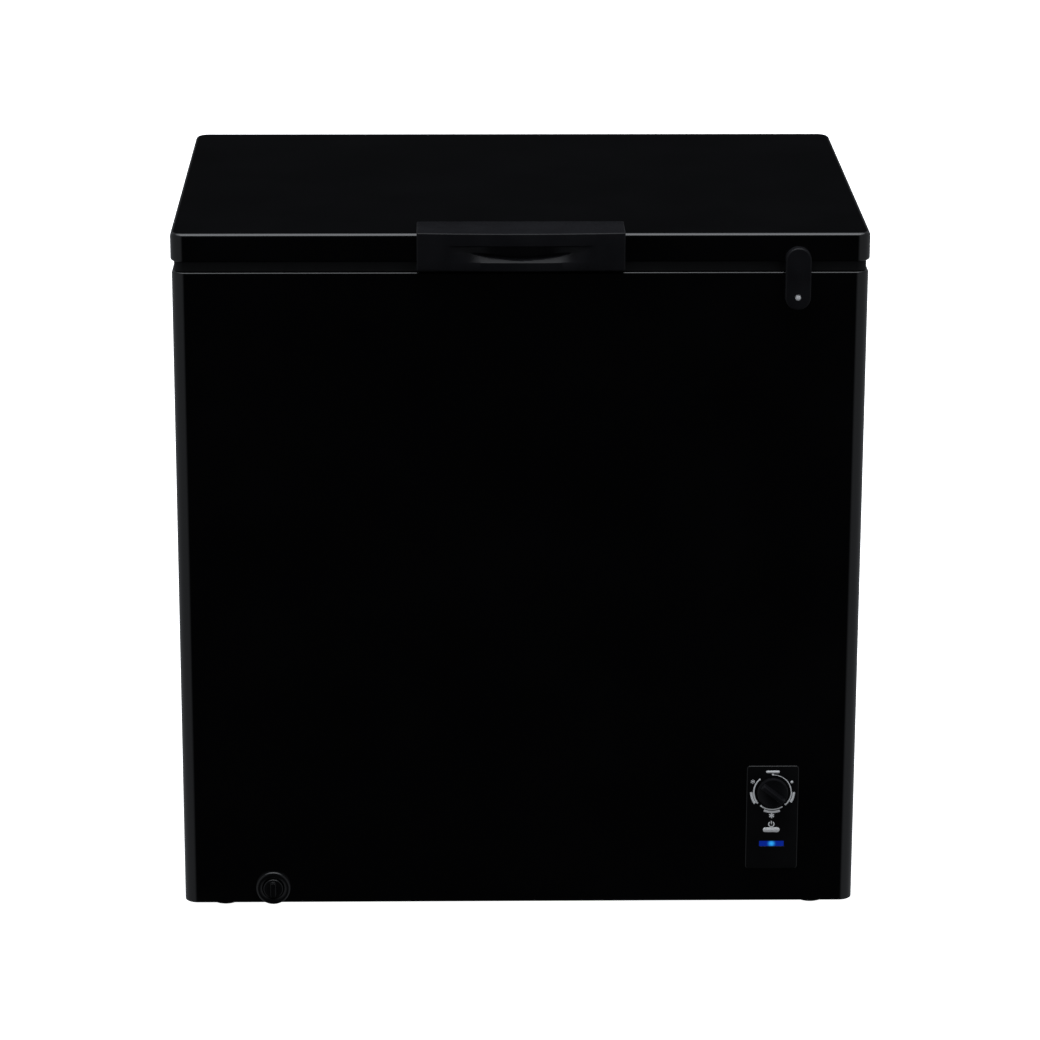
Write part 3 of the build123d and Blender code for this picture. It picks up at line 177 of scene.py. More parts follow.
# %% [markdown]
# ## The finishes
# Most surfaces of the freezer are one of five kinds: painted or plated steel, moulded plastic, rubber, bare
# metal tube, and foam. Real samples are never one flat colour. Paint has a faint orange peel, moulded plastic
# a fine grain and rolled metal a direction, so each kind is a function with its own pattern and scale.


# %% Paint and plastic
def paint(name, colour, roughness, peel=0.000012, specular=0.5):
    """Powder coat: nearly even, with orange peel a few millimetres across."""
    finish = Finish(name, specular=specular, coat=0.25, coat_roughness=0.06)
    cloud = finish.steps(finish.noise(9.0, 3.0), 0.3, 0.7)
    lighter = [channel * 1.35 + 0.0002 for channel in colour]
    finish.set(base_color=finish.colours(cloud, colour, lighter), roughness=cloud * 0.05 + roughness)
    return finish.relief(finish.noise(420.0, 1.0), peel)


def moulded(name, colour, roughness, grain=0.00004, scale=1600.0, specular=0.5):
    """Spark-eroded plastic: a fine even grain, a little rougher on its peaks."""
    finish = Finish(name, specular=specular)
    grit = finish.noise(scale, 2.0)
    cloud = finish.noise(24.0, 2.0)
    lighter = [channel * 1.25 + 0.001 for channel in colour]
    finish.set(
        base_color=finish.colours(finish.steps(cloud, 0.35, 0.65), colour, lighter),
        roughness=grit * 0.16 + (roughness - 0.08),
    )
    return finish.relief(grit, grain)


def rubbery(name, colour, roughness=0.62, dusty=0.02):
    """Dull and slightly dusty."""
    finish = Finish(name, specular=0.25)
    dust = finish.steps(finish.noise(60.0, 4.0), 0.45, 0.75)
    paler = [channel + dusty for channel in colour]
    finish.set(base_color=finish.colours(dust, colour, paler), roughness=dust * 0.12 + roughness)
    return finish.relief(finish.noise(900.0, 2.0), 0.00005)


# %% Bare metals
def rolled(name, colour, roughness, along=(1.0, 40.0, 1.0), marks=0.00001):
    """Rolled or drawn metal: long fine streaks in one direction."""
    finish = Finish(name, metallic=1.0)
    streaks = finish.noise(30.0, 4.0, stretch=along)
    darker = [channel * 0.78 for channel in colour]
    finish.set(
        base_color=finish.colours(finish.steps(streaks, 0.3, 0.7), darker, colour),
        roughness=streaks * 0.2 + (roughness - 0.1),
    )
    return finish.relief(streaks, marks)


def galvanised(name):
    """Hot-dip zinc: flat crystals of different greys."""
    finish = Finish(name, metallic=1.0)
    crystal = finish.node("ShaderNodeTexVoronoi", None, {"Vector": finish.place, "Scale": 110.0}, "Color")
    tone = finish.node("ShaderNodeRGBToBW", None, {"Color": crystal})
    finish.set(
        base_color=finish.colours(tone, (0.42, 0.43, 0.45), (0.66, 0.67, 0.69)),
        roughness=tone * 0.22 + 0.3,
    )
    return finish.relief(finish.cells(110.0), 0.00002)


def plated(name, colour, roughness):
    """Small zinc or chrome parts, rubbed a little in patches at random."""
    finish = Finish(name, metallic=1.0)
    rub = finish.steps(finish.noise(350.0, 3.0), 0.35, 0.7)
    darker = [channel * 0.7 for channel in colour]
    finish.set(base_color=finish.colours(rub, darker, colour), roughness=0.12 * rub + roughness)
    return finish.relief(finish.noise(1500.0, 1.0), 0.00001)


def stucco(name, colour):
    """Embossed aluminium sheet, as lines a tank: small dimples pressed into painted metal."""
    finish = Finish(name, specular=0.5, coat=0.15)
    dimples = finish.steps(finish.cells(210.0, "SMOOTH_F1"), 0.1, 0.75)
    greyer = [channel * 0.93 for channel in colour]
    finish.set(base_color=finish.colours(dimples, colour, greyer), roughness=0.1 * dimples + 0.28)
    return finish.relief(dimples, 0.0005)


def foamed(name, colour):
    """Cut rigid foam: fine open cells."""
    finish = Finish(name, specular=0.2)
    pores = finish.cells(1400.0)
    paler = [channel * 1.1 for channel in colour]
    finish.set(base_color=finish.colours(pores, colour, paler), roughness=0.2 * pores + 0.75)
    return finish.relief(pores, 0.0004)


# %% [markdown]
# ## The light behind the window
# The indicator is a strip of clear blue plastic with a small lamp behind its middle. From outside, the middle
# glows pale and the ends stay deep blue, so the glow falls off with the distance from the lamp.


# %% Lamp and window
def glowing(name, deep, pale, strength, centre, spread):
    finish = Finish(name, coat=0.5)
    away = finish.node(
        "ShaderNodeVectorMath", {"operation": "DISTANCE"}, {0: finish.place, 1: centre}, "Value"
    )
    near = finish.node("ShaderNodeMapRange", {"interpolation_type": "SMOOTHERSTEP"}, {
        "Value": away, "From Min": 0.0, "From Max": spread, "To Min": 1.0, "To Max": 0.0,
    })
    finish.set(base_color=finish.colours(near, deep, pale), roughness=0.1 * near + 0.15)
    finish.set(emission_color=finish.colours(near ** 1.5, deep, pale))
    finish.shader.inputs["Emission Strength"].default_value = strength
    return finish


window_low, window_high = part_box("indicator_window")
window_middle = (window_low + window_high) / 2

finishes = {
    "black_paint": paint("black_paint", (0.0006, 0.0006, 0.0009), 0.13),
    "galvanised": galvanised("galvanised"),
    "zinc_steel": plated("zinc_steel", (0.62, 0.62, 0.64), 0.3),
    "foam": foamed("foam", (0.72, 0.62, 0.36)),
    "white_liner": stucco("white_liner", (0.80, 0.81, 0.82)),
    "collar_plastic": moulded("collar_plastic", (0.55, 0.56, 0.57), 0.42),
    "aluminium_tube": rolled("aluminium_tube", (0.82, 0.83, 0.85), 0.35),
    "steel_tube": paint("steel_tube", (0.03, 0.03, 0.03), 0.4),
    "copper": rolled("copper", (0.83, 0.42, 0.25), 0.32),
    "black_plastic": moulded("black_plastic", (0.0085, 0.0085, 0.0098), 0.28, specular=0.12),
    "gloss_black": moulded("gloss_black", (0.0030, 0.0030, 0.0034), 0.22, grain=0.000004),
    "grey_plastic": moulded("grey_plastic", (0.14, 0.145, 0.15), 0.45),
    "rubber": rubbery("rubber", (0.012, 0.012, 0.012)),
    "gasket": rubbery("gasket", (0.0015, 0.0015, 0.0017), 0.55, dusty=0.001),
    "white_plastic": moulded("white_plastic", (0.76, 0.77, 0.78), 0.35, grain=0.00002),
    "blue_lens": glowing(
        "blue_lens", (0.002, 0.014, 0.20), (0.03, 0.42, 0.95), 0.95, window_middle, 0.0075
    ),
    "lamp": glowing("lamp", (0.05, 0.3, 0.9), (0.5, 0.9, 1.0), 2.0, window_middle, 0.02),
    "compressor_black": paint("compressor_black", (0.008, 0.008, 0.008), 0.3, peel=0.00005),
    "iron": plated("iron", (0.16, 0.16, 0.16), 0.55),
    "chrome": plated("chrome", (0.82, 0.83, 0.85), 0.14),
    "white_wire": paint("white_wire", (0.72, 0.73, 0.74), 0.28, peel=0.00003),
    "spring_steel": rolled("spring_steel", (0.30, 0.30, 0.31), 0.35, along=(1.0, 1.0, 30.0)),
    "wires": moulded("wires", (0.16, 0.03, 0.02), 0.5),
}
slot_of = {row["node"]: row["material_slot"] for row in frame["record"]["subparts"]}
for node, slot in slot_of.items():
    mesh = nodes[node].data
    mesh.materials.clear()
    mesh.materials.append(finishes[slot].material)
print(len(finishes), "finishes on", len(slot_of), "nodes")

# %% [markdown]
# ## Building blocks for new pieces
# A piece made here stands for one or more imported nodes, rides on the same body and keeps their finish. Its
# mesh holds its place, and its object stays at the origin, so patterns on Object coordinates never slide.


# %% Making a piece
def piece(name, bm, body, slot, stands_for=(), sharp=40.0):
    """Turns a bmesh into a piece, smooth but for its sharp edges."""
    mesh = bpy.data.meshes.new(name)
    bm.to_mesh(mesh)
    bm.free()
    mesh.shade_smooth()
    mesh.set_sharp_from_angle(angle=math.radians(sharp))
    mesh.materials.append(finishes[slot].material)
    made = bpy.data.objects.new(name, mesh)
    bpy.context.scene.collection.objects.link(made)
    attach(made, body)
    if stands_for:
        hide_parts(*stands_for)
    print(name, "has", len(mesh.polygons), "faces")
    return made


def body_with(node):
    return next(body for body, names in frame["record"]["behaviour"]["bodies"].items() if node in names)


def round_off(bm, edges, radius, segments):
    """Rounds edges over."""
    return bmesh.ops.bevel(
        bm, geom=list(edges), offset=radius, offset_type="OFFSET", segments=segments, profile=0.5,
        affect="EDGES", clamp_overlap=True, material=-1,
    )


def brick(low, high):
    """A bmesh box between two corners."""
    bm = bmesh.new()
    bmesh.ops.create_cube(bm, size=1.0)
    bmesh.ops.scale(bm, vec=Vector(high) - Vector(low), verts=bm.verts)
    bmesh.ops.translate(bm, vec=(Vector(high) + Vector(low)) / 2, verts=bm.verts)
    return bm


def runs_along(edge, axis):
    """Whether an edge is parallel to an axis, given as 0, 1 or 2."""
    step = edge.verts[1].co - edge.verts[0].co
    return abs(step[axis]) > 0.999 * step.length


def edges_at(bm, axis, place):
    """The edges that lie in the plane where axis has that value."""
    return [edge for edge in bm.edges if all(abs(vert.co[axis] - place) < 1e-6 for vert in edge.verts)]


def face_at(bm, axis, place):
    """The largest face in the plane where axis has that value."""
    flat = [face for face in bm.faces if all(abs(vert.co[axis] - place) < 1e-6 for vert in face.verts)]
    return max(flat, key=lambda face: face.calc_area())


def softened(node, width, segments=2):
    """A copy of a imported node, merged into one skin, with its sharp edges eased."""
    bm = bmesh.new()
    bm.from_mesh(nodes[node].data)
    bmesh.ops.remove_doubles(bm, verts=bm.verts, dist=0.000002)
    bmesh.ops.dissolve_limit(bm, angle_limit=math.radians(0.4), verts=bm.verts, edges=bm.edges)
    made = piece(node + "_eased", bm, body_with(node), slot_of[node], [node], sharp=32.0)
    ease = made.modifiers.new("ease", "BEVEL")
    ease.width = width
    ease.segments = segments
    ease.limit_method = "ANGLE"
    ease.angle_limit = math.radians(38.0)
    ease.harden_normals = True
    return made


# %% [markdown]
# ## The painted cabinet
# The front and both sides are one steel sheet, bent round the two front corners and folded inwards along the
# top. A box with bevelled edges gives the bends, and Solidify gives the sheet its 0.6 mm. The bottom, most of
# the back and the middle of the top are then cut away, because the real sheet is open there. So are a window
# behind the vent and a hole behind the drain's ring.
#
# One thing here falls short. Bevel is clamped where it would run into the tight back corners, so the rim comes
# out with a radius of about 4 mm instead of rim_radius. The fold then ends about 8 mm short of the plastic
# frame, and a strip of foam shows between them when the lid is open.

# %% Cabinet shell
sheet = 0.6 * mm
corner_radius = 16 * mm
back_radius = 4 * mm
rim_radius = 12 * mm  # asked for, but clamped to about back_radius
rim_fold = 10.5 * mm
back_fold = 10 * mm
vent_frame = 8 * mm
drain_hole = 10 * mm


def cut_window(bm, axis, place, low, high):
    """Cuts a rectangular window in the flat face at that place. low and high are its corners."""
    for across in (index for index in range(3) if index != axis):
        for at in (low[across], high[across]):
            flat = [face for face in bm.faces if all(abs(v.co[axis] - place) < 1e-6 for v in face.verts)]
            parts = set(flat)
            for face in flat:
                parts.update(face.edges)
                parts.update(face.verts)
            normal = Vector((0, 0, 0))
            normal[across] = 1.0
            where = Vector(low)
            where[across] = at
            bmesh.ops.bisect_plane(bm, geom=list(parts), dist=1e-7, plane_co=where, plane_no=normal)
    inside = [
        face for face in bm.faces
        if all(abs(vert.co[axis] - place) < 1e-6 for vert in face.verts)
        and all(low[a] < face.calc_center_median()[a] < high[a] for a in range(3) if a != axis)
    ]
    bmesh.ops.delete(bm, geom=inside, context="FACES")


def thicken(made, thickness):
    """Gives a one-sided skin its wall, inwards, and keeps its large flat faces flat to the light."""
    mesh = made.data
    borders = {key: 0 for key in mesh.edge_keys}
    for polygon in mesh.polygons:
        for key in polygon.edge_keys:
            borders[key] += 1
    for edge in mesh.edges:
        if borders[edge.key] == 1:
            edge.use_edge_sharp = True
    wall = made.modifiers.new("wall", "SOLIDIFY")
    wall.thickness = thickness
    wall.offset = -1.0
    wall.use_even_offset = True
    flat = made.modifiers.new("flat", "WEIGHTED_NORMAL")
    flat.keep_sharp = True
    flat.weight = 100
    return made


shell = brick(shell_low, shell_high)
round_off(shell, [e for e in shell.edges if runs_along(e, 2) and e.verts[0].co.y < 0], corner_radius, 14)
back_edges = [e for e in edges_at(shell, 1, shell_high.y) if runs_along(e, 2)]
round_off(shell, back_edges, back_radius, 4)
round_off(shell, edges_at(shell, 2, shell_high.z), rim_radius, 12)
bmesh.ops.delete(shell, geom=[face_at(shell, 2, shell_low.z)], context="FACES")
top = face_at(shell, 2, shell_high.z)
bmesh.ops.inset_individual(shell, faces=[top], thickness=rim_fold, use_even_offset=True)
bmesh.ops.delete(shell, geom=[top], context="FACES")
back = face_at(shell, 1, shell_high.y)
bmesh.ops.inset_individual(shell, faces=[back], thickness=back_fold, use_even_offset=True)
bmesh.ops.delete(shell, geom=[back], context="FACES")
vent_low, vent_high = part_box("side_vent_grille")
vent_flange = Vector((0, vent_frame, vent_frame))
cut_window(shell, 0, shell_high.x, vent_low + vent_flange, vent_high - vent_flange)
# The drain spout slides through the front sheet, in a hole that the round ring hides.
ring_low, ring_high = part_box("drain_bezel")
drain_middle = (ring_low + ring_high) / 2
drain_half = Vector((drain_hole, 0, drain_hole))
cut_window(shell, 1, shell_low.y, drain_middle - drain_half, drain_middle + drain_half)
thicken(piece("cabinet_shell", shell, "cabinet", "black_paint", ["outer_shell"], sharp=50.0), sheet)

# %% [markdown]
# ## The lid's skin
# The lid is the same sheet, pressed into a shallow tray and turned upside down. Its top edge has a 5 mm bend,
# which draws the thin bright line along the front, and its lower edge folds under by 14 mm.

# %% Lid skin
top_bend = 5 * mm
low_bend = 3 * mm
lid_fold = 11 * mm
skin = brick(lid_low, lid_high)
round_off(skin, [e for e in skin.edges if runs_along(e, 2)], corner_radius, 14)
round_off(skin, edges_at(skin, 2, lid_high.z), top_bend, 8)
round_off(skin, edges_at(skin, 2, lid_low.z), low_bend, 5)
under = face_at(skin, 2, lid_low.z)
bmesh.ops.inset_individual(skin, faces=[under], thickness=lid_fold, use_even_offset=True)
bmesh.ops.delete(skin, geom=[under], context="FACES")
thicken(piece("lid_painted_skin", skin, "lid", "black_paint", ["lid_skin"], sharp=50.0), sheet)

# %% [markdown]
# ## The handle
# The handle is one moulding: a plate that lies on the lid, a front that bows forward, and a finger scoop
# under a straight lip. Its section hardly changes from end to end, so one section is drawn,
# swept sideways with spin, and each step of the sweep is then bent to its own bow and its own pocket. The
# pocket's floor slopes back at 45 degrees, over a low strip in the middle and a tall one at the sides, and is
# nearly level behind that. Only the slope mirrors the ceiling, so it lights as a smile.

# %% Handle
handle_low, handle_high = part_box("lid_handle")
half_width = handle_high.x
end_proud = 13 * mm
mid_proud = lid_low.y - handle_low.y
scoop_floor = handle_low.z + 10.5 * mm
scoop_height = 20.0 * mm
scoop_half = 88 * mm
screw_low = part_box("lid_front_screws")[0]
screw_cover = 0.8 * mm
scoop_depth = min(14 * mm, screw_low.y - handle_low.y - screw_cover)
print("the scoop can be", round(scoop_depth / mm, 1), "mm deep before it meets the screws")
across_steps = 120
scoop_steps = 32
slope_middle = 2.4 * mm
slope_sides = min(10 * mm, scoop_depth)
steep_rise = 3.0 * mm
slope_reach = 0.7
lip_share = 0.2
fade_start = 0.35


def pocket(x, share):
    """How deep the finger scoop is at a share of its height, for a place along the handle."""
    side = min(abs(x) / scoop_half, 1.0)
    height = share * scoop_height
    slope = slope_middle + (slope_sides - slope_middle) * min(side / slope_reach, 1.0) ** 1.6
    back_rise = math.sin(math.pi / 2 * min(max(height - slope, 0.0) / steep_rise, 1.0))
    depth = min(height, slope) + max(scoop_depth - slope, 0.0) * back_rise
    lip = min((1.0 - share) / lip_share, 1.0)
    fade = min(max((side - fade_start) / (1.0 - fade_start), 0.0), 1.0)
    ends = 1.0 - fade ** 2 * (3 - 2 * fade)
    return depth * ends * math.sqrt(1.0 - (1.0 - lip) ** 2)


def bow(x):
    """How far the handle's front stands ahead of its ends."""
    return (mid_proud - end_proud) * (1.0 - (x / half_width) ** 2)


def handle_section():
    """Section points as (kind, how far forward of the lid, height). Kinds say what bends with x."""
    top = handle_high.z
    low = handle_low.z
    rest = lid_high.z + 0.1 * mm
    ease = 1.8 * mm
    points = [
        ("plain", -48 * mm, rest), ("plain", -48 * mm, top - ease), ("plain", -47.4 * mm, top - 0.5 * mm),
        ("plain", -46.2 * mm, top), ("plain", -20 * mm, top),
    ]
    for step in range(6):
        turn = math.pi / 2 * step / 5
        points.append(("front", end_proud - ease + ease * math.sin(turn), top - ease + ease * math.cos(turn)))
    points.append(("front", end_proud, scoop_floor + scoop_height + 1.0 * mm))
    for step in range(scoop_steps + 1):
        points.append(("scoop", step / scoop_steps, 0.0))
    for step in range(5):
        turn = math.pi / 2 * step / 4
        points.append(("front", end_proud - ease + ease * math.cos(turn), low + ease - ease * math.sin(turn)))
    points += [("plain", 0.1 * mm, low), ("plain", 0.1 * mm, rest)]
    return points


section = handle_section()
handle = bmesh.new()
order = handle.verts.layers.int.new("order")
ring = [handle.verts.new((-half_width, 0, 0)) for point in section]
for index, vert in enumerate(ring):
    vert[order] = index
loop = [handle.edges.new((ring[index], ring[(index + 1) % len(ring)])) for index in range(len(ring))]
bmesh.ops.spin(
    handle, geom=ring + loop, cent=(0, 0, 0), axis=(1, 0, 0), angle=0.0, steps=across_steps,
    dvec=(2 * half_width / across_steps, 0, 0), use_duplicate=False,
)
for vert in handle.verts:
    kind, forward, height = section[vert[order]]
    x = vert.co.x
    if kind == "front":
        forward += bow(x)
    if kind == "scoop":
        share = 1.0 - forward
        forward = end_proud + bow(x) - pocket(x, share)
        height = scoop_floor + scoop_height * share
    vert.co.y = lid_low.y - forward
    vert.co.z = height
ends = [edge for edge in handle.edges if edge.is_boundary]
bmesh.ops.holes_fill(handle, edges=ends, sides=0)
bmesh.ops.recalc_face_normals(handle, faces=handle.faces)
end_edges = edges_at(handle, 0, -half_width) + edges_at(handle, 0, half_width)
round_off(handle, end_edges, 1.5 * mm, 4)
piece("lid_grip_handle", handle, "lid", "black_plastic", ["lid_handle"], sharp=38.0)

# %% [markdown]
# ## The thermostat knob
# A round skirt with a raised bar across it. The skirt is a half section spun round the shaft's axis, and the
# bar is a bevelled block turned to where the pointer rests. Fine ribs round the skirt give fingers a hold.

# %% Knob
knob_low, knob_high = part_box("thermostat_knob")
knob_axis = Vector(((knob_low.x + knob_high.x) / 2, 0, (knob_low.z + knob_high.z) / 2))
knob_radius = (knob_high.x - knob_low.x) / 2
knob_face = knob_low.y
lid_overhang = 3 * mm
knob_ahead = 2.5 * mm
knob_back = lid_low.y + lid_overhang - knob_ahead


def turned(points, axis, steps=72):
    """Spins a half section, given as (radius, y), round an axis that runs along Y."""
    bm = bmesh.new()
    verts = [bm.verts.new((axis.x + radius, y, axis.z)) for radius, y in points]
    edges = [bm.edges.new(pair) for pair in zip(verts, verts[1:])]
    bmesh.ops.spin(
        bm, geom=verts + edges, cent=axis, axis=(0, 1, 0), angle=2 * math.pi, steps=steps, use_merge=True
    )
    bmesh.ops.remove_doubles(bm, verts=bm.verts, dist=0.00001)
    bmesh.ops.recalc_face_normals(bm, faces=bm.faces)
    return bm


skirt_high = knob_back - 5.0 * mm
knob_bm = turned(
    [
        (0.0, knob_back), (knob_radius - 0.4 * mm, knob_back), (knob_radius, knob_back - 0.5 * mm),
        (knob_radius, skirt_high + 1.6 * mm), (knob_radius - 0.6 * mm, skirt_high + 0.5 * mm),
        (knob_radius - 1.8 * mm, skirt_high), (knob_radius - 3.2 * mm, skirt_high + 0.7 * mm),
        (6.0 * mm, skirt_high + 1.6 * mm), (0.0, skirt_high + 1.8 * mm),
    ],
    knob_axis, 120,
)
for vert in knob_bm.verts:
    out = Vector((vert.co.x - knob_axis.x, 0, vert.co.z - knob_axis.z))
    if out.length > knob_radius - 0.1 * mm:
        rib = 0.25 * mm * (0.5 - 0.5 * math.cos(40 * math.atan2(out.z, out.x)))
        vert.co -= out.normalized() * rib
bar_half = 4.2 * mm
bar_end = knob_radius - 1.8 * mm
bar = brick((-bar_half, knob_face, -bar_end), (bar_half, skirt_high + 2.5 * mm, bar_end))
front_face = face_at(bar, 1, knob_face)
bmesh.ops.scale(bar, vec=(0.62, 1.0, 0.94), verts=front_face.verts)
round_off(bar, [e for e in bar.edges if not all(v.co.y > knob_face + 1 * mm for v in e.verts)], 1.3 * mm, 4)
pointer_turn = math.radians(-52.0)
bmesh.ops.rotate(bar, cent=(0, 0, 0), matrix=Matrix.Rotation(pointer_turn, 3, "Y"), verts=bar.verts)
bmesh.ops.translate(bar, vec=knob_axis, verts=bar.verts)
bar_mesh = bpy.data.meshes.new("bar")
bar.to_mesh(bar_mesh)
bar.free()
knob_bm.from_mesh(bar_mesh)
bpy.data.meshes.remove(bar_mesh)
piece("thermostat_grip_knob", knob_bm, "knob", "black_plastic", ["thermostat_knob"])

# %% [markdown]
# ## The printed dial
# Round the knob are white marks: thin arcs that thicken clockwise as the setting gets colder, a thick label
# beside each, and a few plain symbols. Print has almost no height, so each mark is a skin 0.06 mm thick that
# lies on the panel. The arcs are a short line spun part of the way round.

# %% Printed marks
panel_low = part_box("control_panel")[0]
print_face = panel_low.y - 0.02 * mm
print_depth = 0.06 * mm
finishes["white_print_painted_glow"] = moulded("white_print_painted_glow", (0.70, 0.71, 0.72), 0.5, grain=0.00001)
# The white print also glows faintly. This is painted light, because the print is no lamp.
finishes["white_print_painted_glow"].set(emission_color=(0.7, 0.72, 0.75, 1.0))
finishes["white_print_painted_glow"].shader.inputs["Emission Strength"].default_value = 0.12


def printed(name, bm):
    """Gives a flat mark its thickness and sticks it on the panel."""
    bmesh.ops.recalc_face_normals(bm, faces=bm.faces)
    if bm.faces and bm.faces[:][0].normal.y > 0:
        bmesh.ops.reverse_faces(bm, faces=bm.faces)
    made = piece(name, bm, "cabinet", "white_plastic")
    made.data.materials[0] = finishes["white_print_painted_glow"].material
    wall = made.modifiers.new("ink", "SOLIDIFY")
    wall.thickness = print_depth
    wall.offset = 1.0
    return made


def swept_arc(bm, radius, thin, thick, start, end, steps=28):
    """An arc round the knob from start to end, in degrees clockwise from straight up."""
    inner = bm.verts.new((knob_axis.x, print_face, knob_axis.z + radius))
    outer = bm.verts.new((knob_axis.x, print_face, knob_axis.z + radius + thin))
    edge = bm.edges.new((inner, outer))
    bmesh.ops.rotate(
        bm, cent=knob_axis, matrix=Matrix.Rotation(math.radians(start), 3, "Y"), verts=[inner, outer]
    )
    before = set(bm.verts) - {inner, outer}
    bmesh.ops.spin(
        bm, geom=[inner, outer, edge], cent=knob_axis, axis=(0, 1, 0), angle=math.radians(end - start),
        steps=steps,
    )
    for vert in set(bm.verts) - before:
        out = Vector((vert.co.x - knob_axis.x, 0, vert.co.z - knob_axis.z))
        if out.length > radius + thin / 2:
            turn = math.degrees(math.atan2(out.x, out.z))
            turn += 360.0 if turn < start - 1e-3 else 0.0
            share = min(max((turn - start) / (end - start), 0.0), 1.0)
            vert.co += out.normalized() * (thick - thin) * share


def spot(bm, x, z, radius, sides=20):
    """A round dot on the panel."""
    dot = bmesh.ops.create_circle(bm, cap_ends=True, radius=radius, segments=sides)["verts"]
    bmesh.ops.rotate(bm, cent=(0, 0, 0), matrix=Matrix.Rotation(math.pi / 2, 3, "X"), verts=dot)
    bmesh.ops.translate(bm, vec=(x, print_face, z), verts=dot)


def stroke(bm, x, z, length, width, turn=0.0, shift=0.0):
    """A short bar on the panel, turned clockwise, shifted along itself."""
    quad = bmesh.ops.create_grid(bm, x_segments=1, y_segments=1, size=0.5)["verts"]
    bmesh.ops.scale(bm, vec=(width, length, 1.0), verts=quad)
    bmesh.ops.translate(bm, vec=(0, shift, 0), verts=quad)
    bmesh.ops.rotate(bm, cent=(0, 0, 0), matrix=Matrix.Rotation(math.pi / 2, 3, "X"), verts=quad)
    bmesh.ops.rotate(bm, cent=(0, 0, 0), matrix=Matrix.Rotation(math.radians(turn), 3, "Y"), verts=quad)
    bmesh.ops.translate(bm, vec=(x, print_face, z), verts=quad)


def pill(bm, x, z, length, height, sides=16):
    """A bar with round ends: a circle pulled apart in the middle."""
    dot = bmesh.ops.create_circle(bm, cap_ends=True, radius=height / 2, segments=sides)["verts"]
    for vert in dot:
        vert.co.x += math.copysign((length - height) / 2, vert.co.x)
    bmesh.ops.rotate(bm, cent=(0, 0, 0), matrix=Matrix.Rotation(math.pi / 2, 3, "X"), verts=dot)
    bmesh.ops.translate(bm, vec=(x, print_face, z), verts=dot)


def around(turn, radius):
    """A place round the knob, clockwise from straight up."""
    return (
        knob_axis.x + radius * math.sin(math.radians(turn)),
        knob_axis.z + radius * math.cos(math.radians(turn)),
    )


def snowflake(bm, x, z, radius):
    """Three crossing bars with short side arms."""
    for turn in (0, 60, 120):
        stroke(bm, x, z, 2 * radius, radius * 0.24, turn)
    for turn in range(0, 360, 60):
        tip_x = x + radius * 0.66 * math.sin(math.radians(turn))
        tip_z = z + radius * 0.66 * math.cos(math.radians(turn))
        stroke(bm, tip_x, tip_z, radius * 0.42, radius * 0.2, turn + 45, radius * 0.16)
        stroke(bm, tip_x, tip_z, radius * 0.42, radius * 0.2, turn - 45, radius * 0.16)


ring = knob_radius + 3.0 * mm
label = knob_radius + 5.6 * mm
marks = bmesh.new()
for start, end, radius, thin, thick in (
    (2, 88, 0.0, 0.6, 1.5), (89, 134, 0.4, 1.5, 1.6), (147, 216, 0.2, 1.3, 1.6), (230, 314, 0.2, 2.0, 1.5),
):
    swept_arc(marks, ring + radius * mm, thin * mm, thick * mm, start, end)
for start, end in ((91, 121), (159, 203), (235, 269)):
    swept_arc(marks, label, 2.9 * mm, 2.9 * mm, start, end)
for turn in (0, 135, 217, 315):
    spot(marks, *around(turn, ring + 0.8 * mm), 1.2 * mm)
printed("dial_arcs", marks)

symbols = bmesh.new()
low_x = knob_axis.x - 0.6 * mm
pill(symbols, knob_axis.x, knob_axis.z + 26.0 * mm, 16.5 * mm, 3.2 * mm)
snowflake(symbols, *around(299, 27.5 * mm), 2.6 * mm)
spot(symbols, *around(61, 26.4 * mm), 1.7 * mm)
snowflake(symbols, low_x, knob_axis.z - 30.6 * mm, 3.3 * mm)
spot(symbols, low_x, knob_axis.z - 30.6 * mm, 2.2 * mm)
pill(symbols, low_x, knob_axis.z - 48.9 * mm, 20.4 * mm, 6.4 * mm)
printed("panel_symbols", symbols)

power = bmesh.new()
power_z = knob_axis.z - 41.7 * mm
inner = power.verts.new((low_x, print_face, power_z + 2.6 * mm))
outer = power.verts.new((low_x, print_face, power_z + 3.9 * mm))
side = power.edges.new((inner, outer))
bmesh.ops.rotate(
    power, cent=(low_x, 0, power_z), matrix=Matrix.Rotation(math.radians(32), 3, "Y"), verts=[inner, outer]
)
bmesh.ops.spin(
    power, geom=[inner, outer, side], cent=(low_x, 0, power_z), axis=(0, 1, 0), angle=math.radians(296),
    steps=30,
)
stroke(power, low_x, power_z, 4.2 * mm, 1.2 * mm, 0.0, 2.0 * mm)
printed("power_symbol", power)


# %% [markdown]
# ## The drain
# A round bezel low on the left, with a dial sunk in it. Both are turned shapes: the bezel is a spun section,
# and the dial is an eased copy of the imported one.
# The bezel is thick enough to catch a line of light along its upper edge.

# %% Drain bezel and dial
bezel_low, bezel_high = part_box("drain_bezel")
dial_low, dial_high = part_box("drain_dial")
drain_axis = Vector(((bezel_low.x + bezel_high.x) / 2, 0, (bezel_low.z + bezel_high.z) / 2))
bezel_radius = (bezel_high.x - bezel_low.x) / 2
dial_edge = (dial_high.x - dial_low.x) / 2
bezel_face = bezel_low.y
cabinet_front = shell_low.y
bezel_bm = turned(
    [
        (bezel_radius, cabinet_front), (bezel_radius, bezel_face + 2.4 * mm),
        (bezel_radius - 0.6 * mm, bezel_face + 0.9 * mm), (bezel_radius - 1.8 * mm, bezel_face + 0.15 * mm),
        (bezel_radius - 3.0 * mm, bezel_face), (dial_edge + 2.6 * mm, bezel_face + 0.4 * mm),
        (dial_edge + 1.2 * mm, bezel_face + 1.0 * mm), (dial_edge + 0.35 * mm, bezel_face + 2.2 * mm),
        (dial_edge + 0.3 * mm, bezel_face + 4.9 * mm), (8.0 * mm, bezel_face + 4.9 * mm),
        (8.0 * mm, cabinet_front), (bezel_radius, cabinet_front),
    ],
    drain_axis, 96,
)
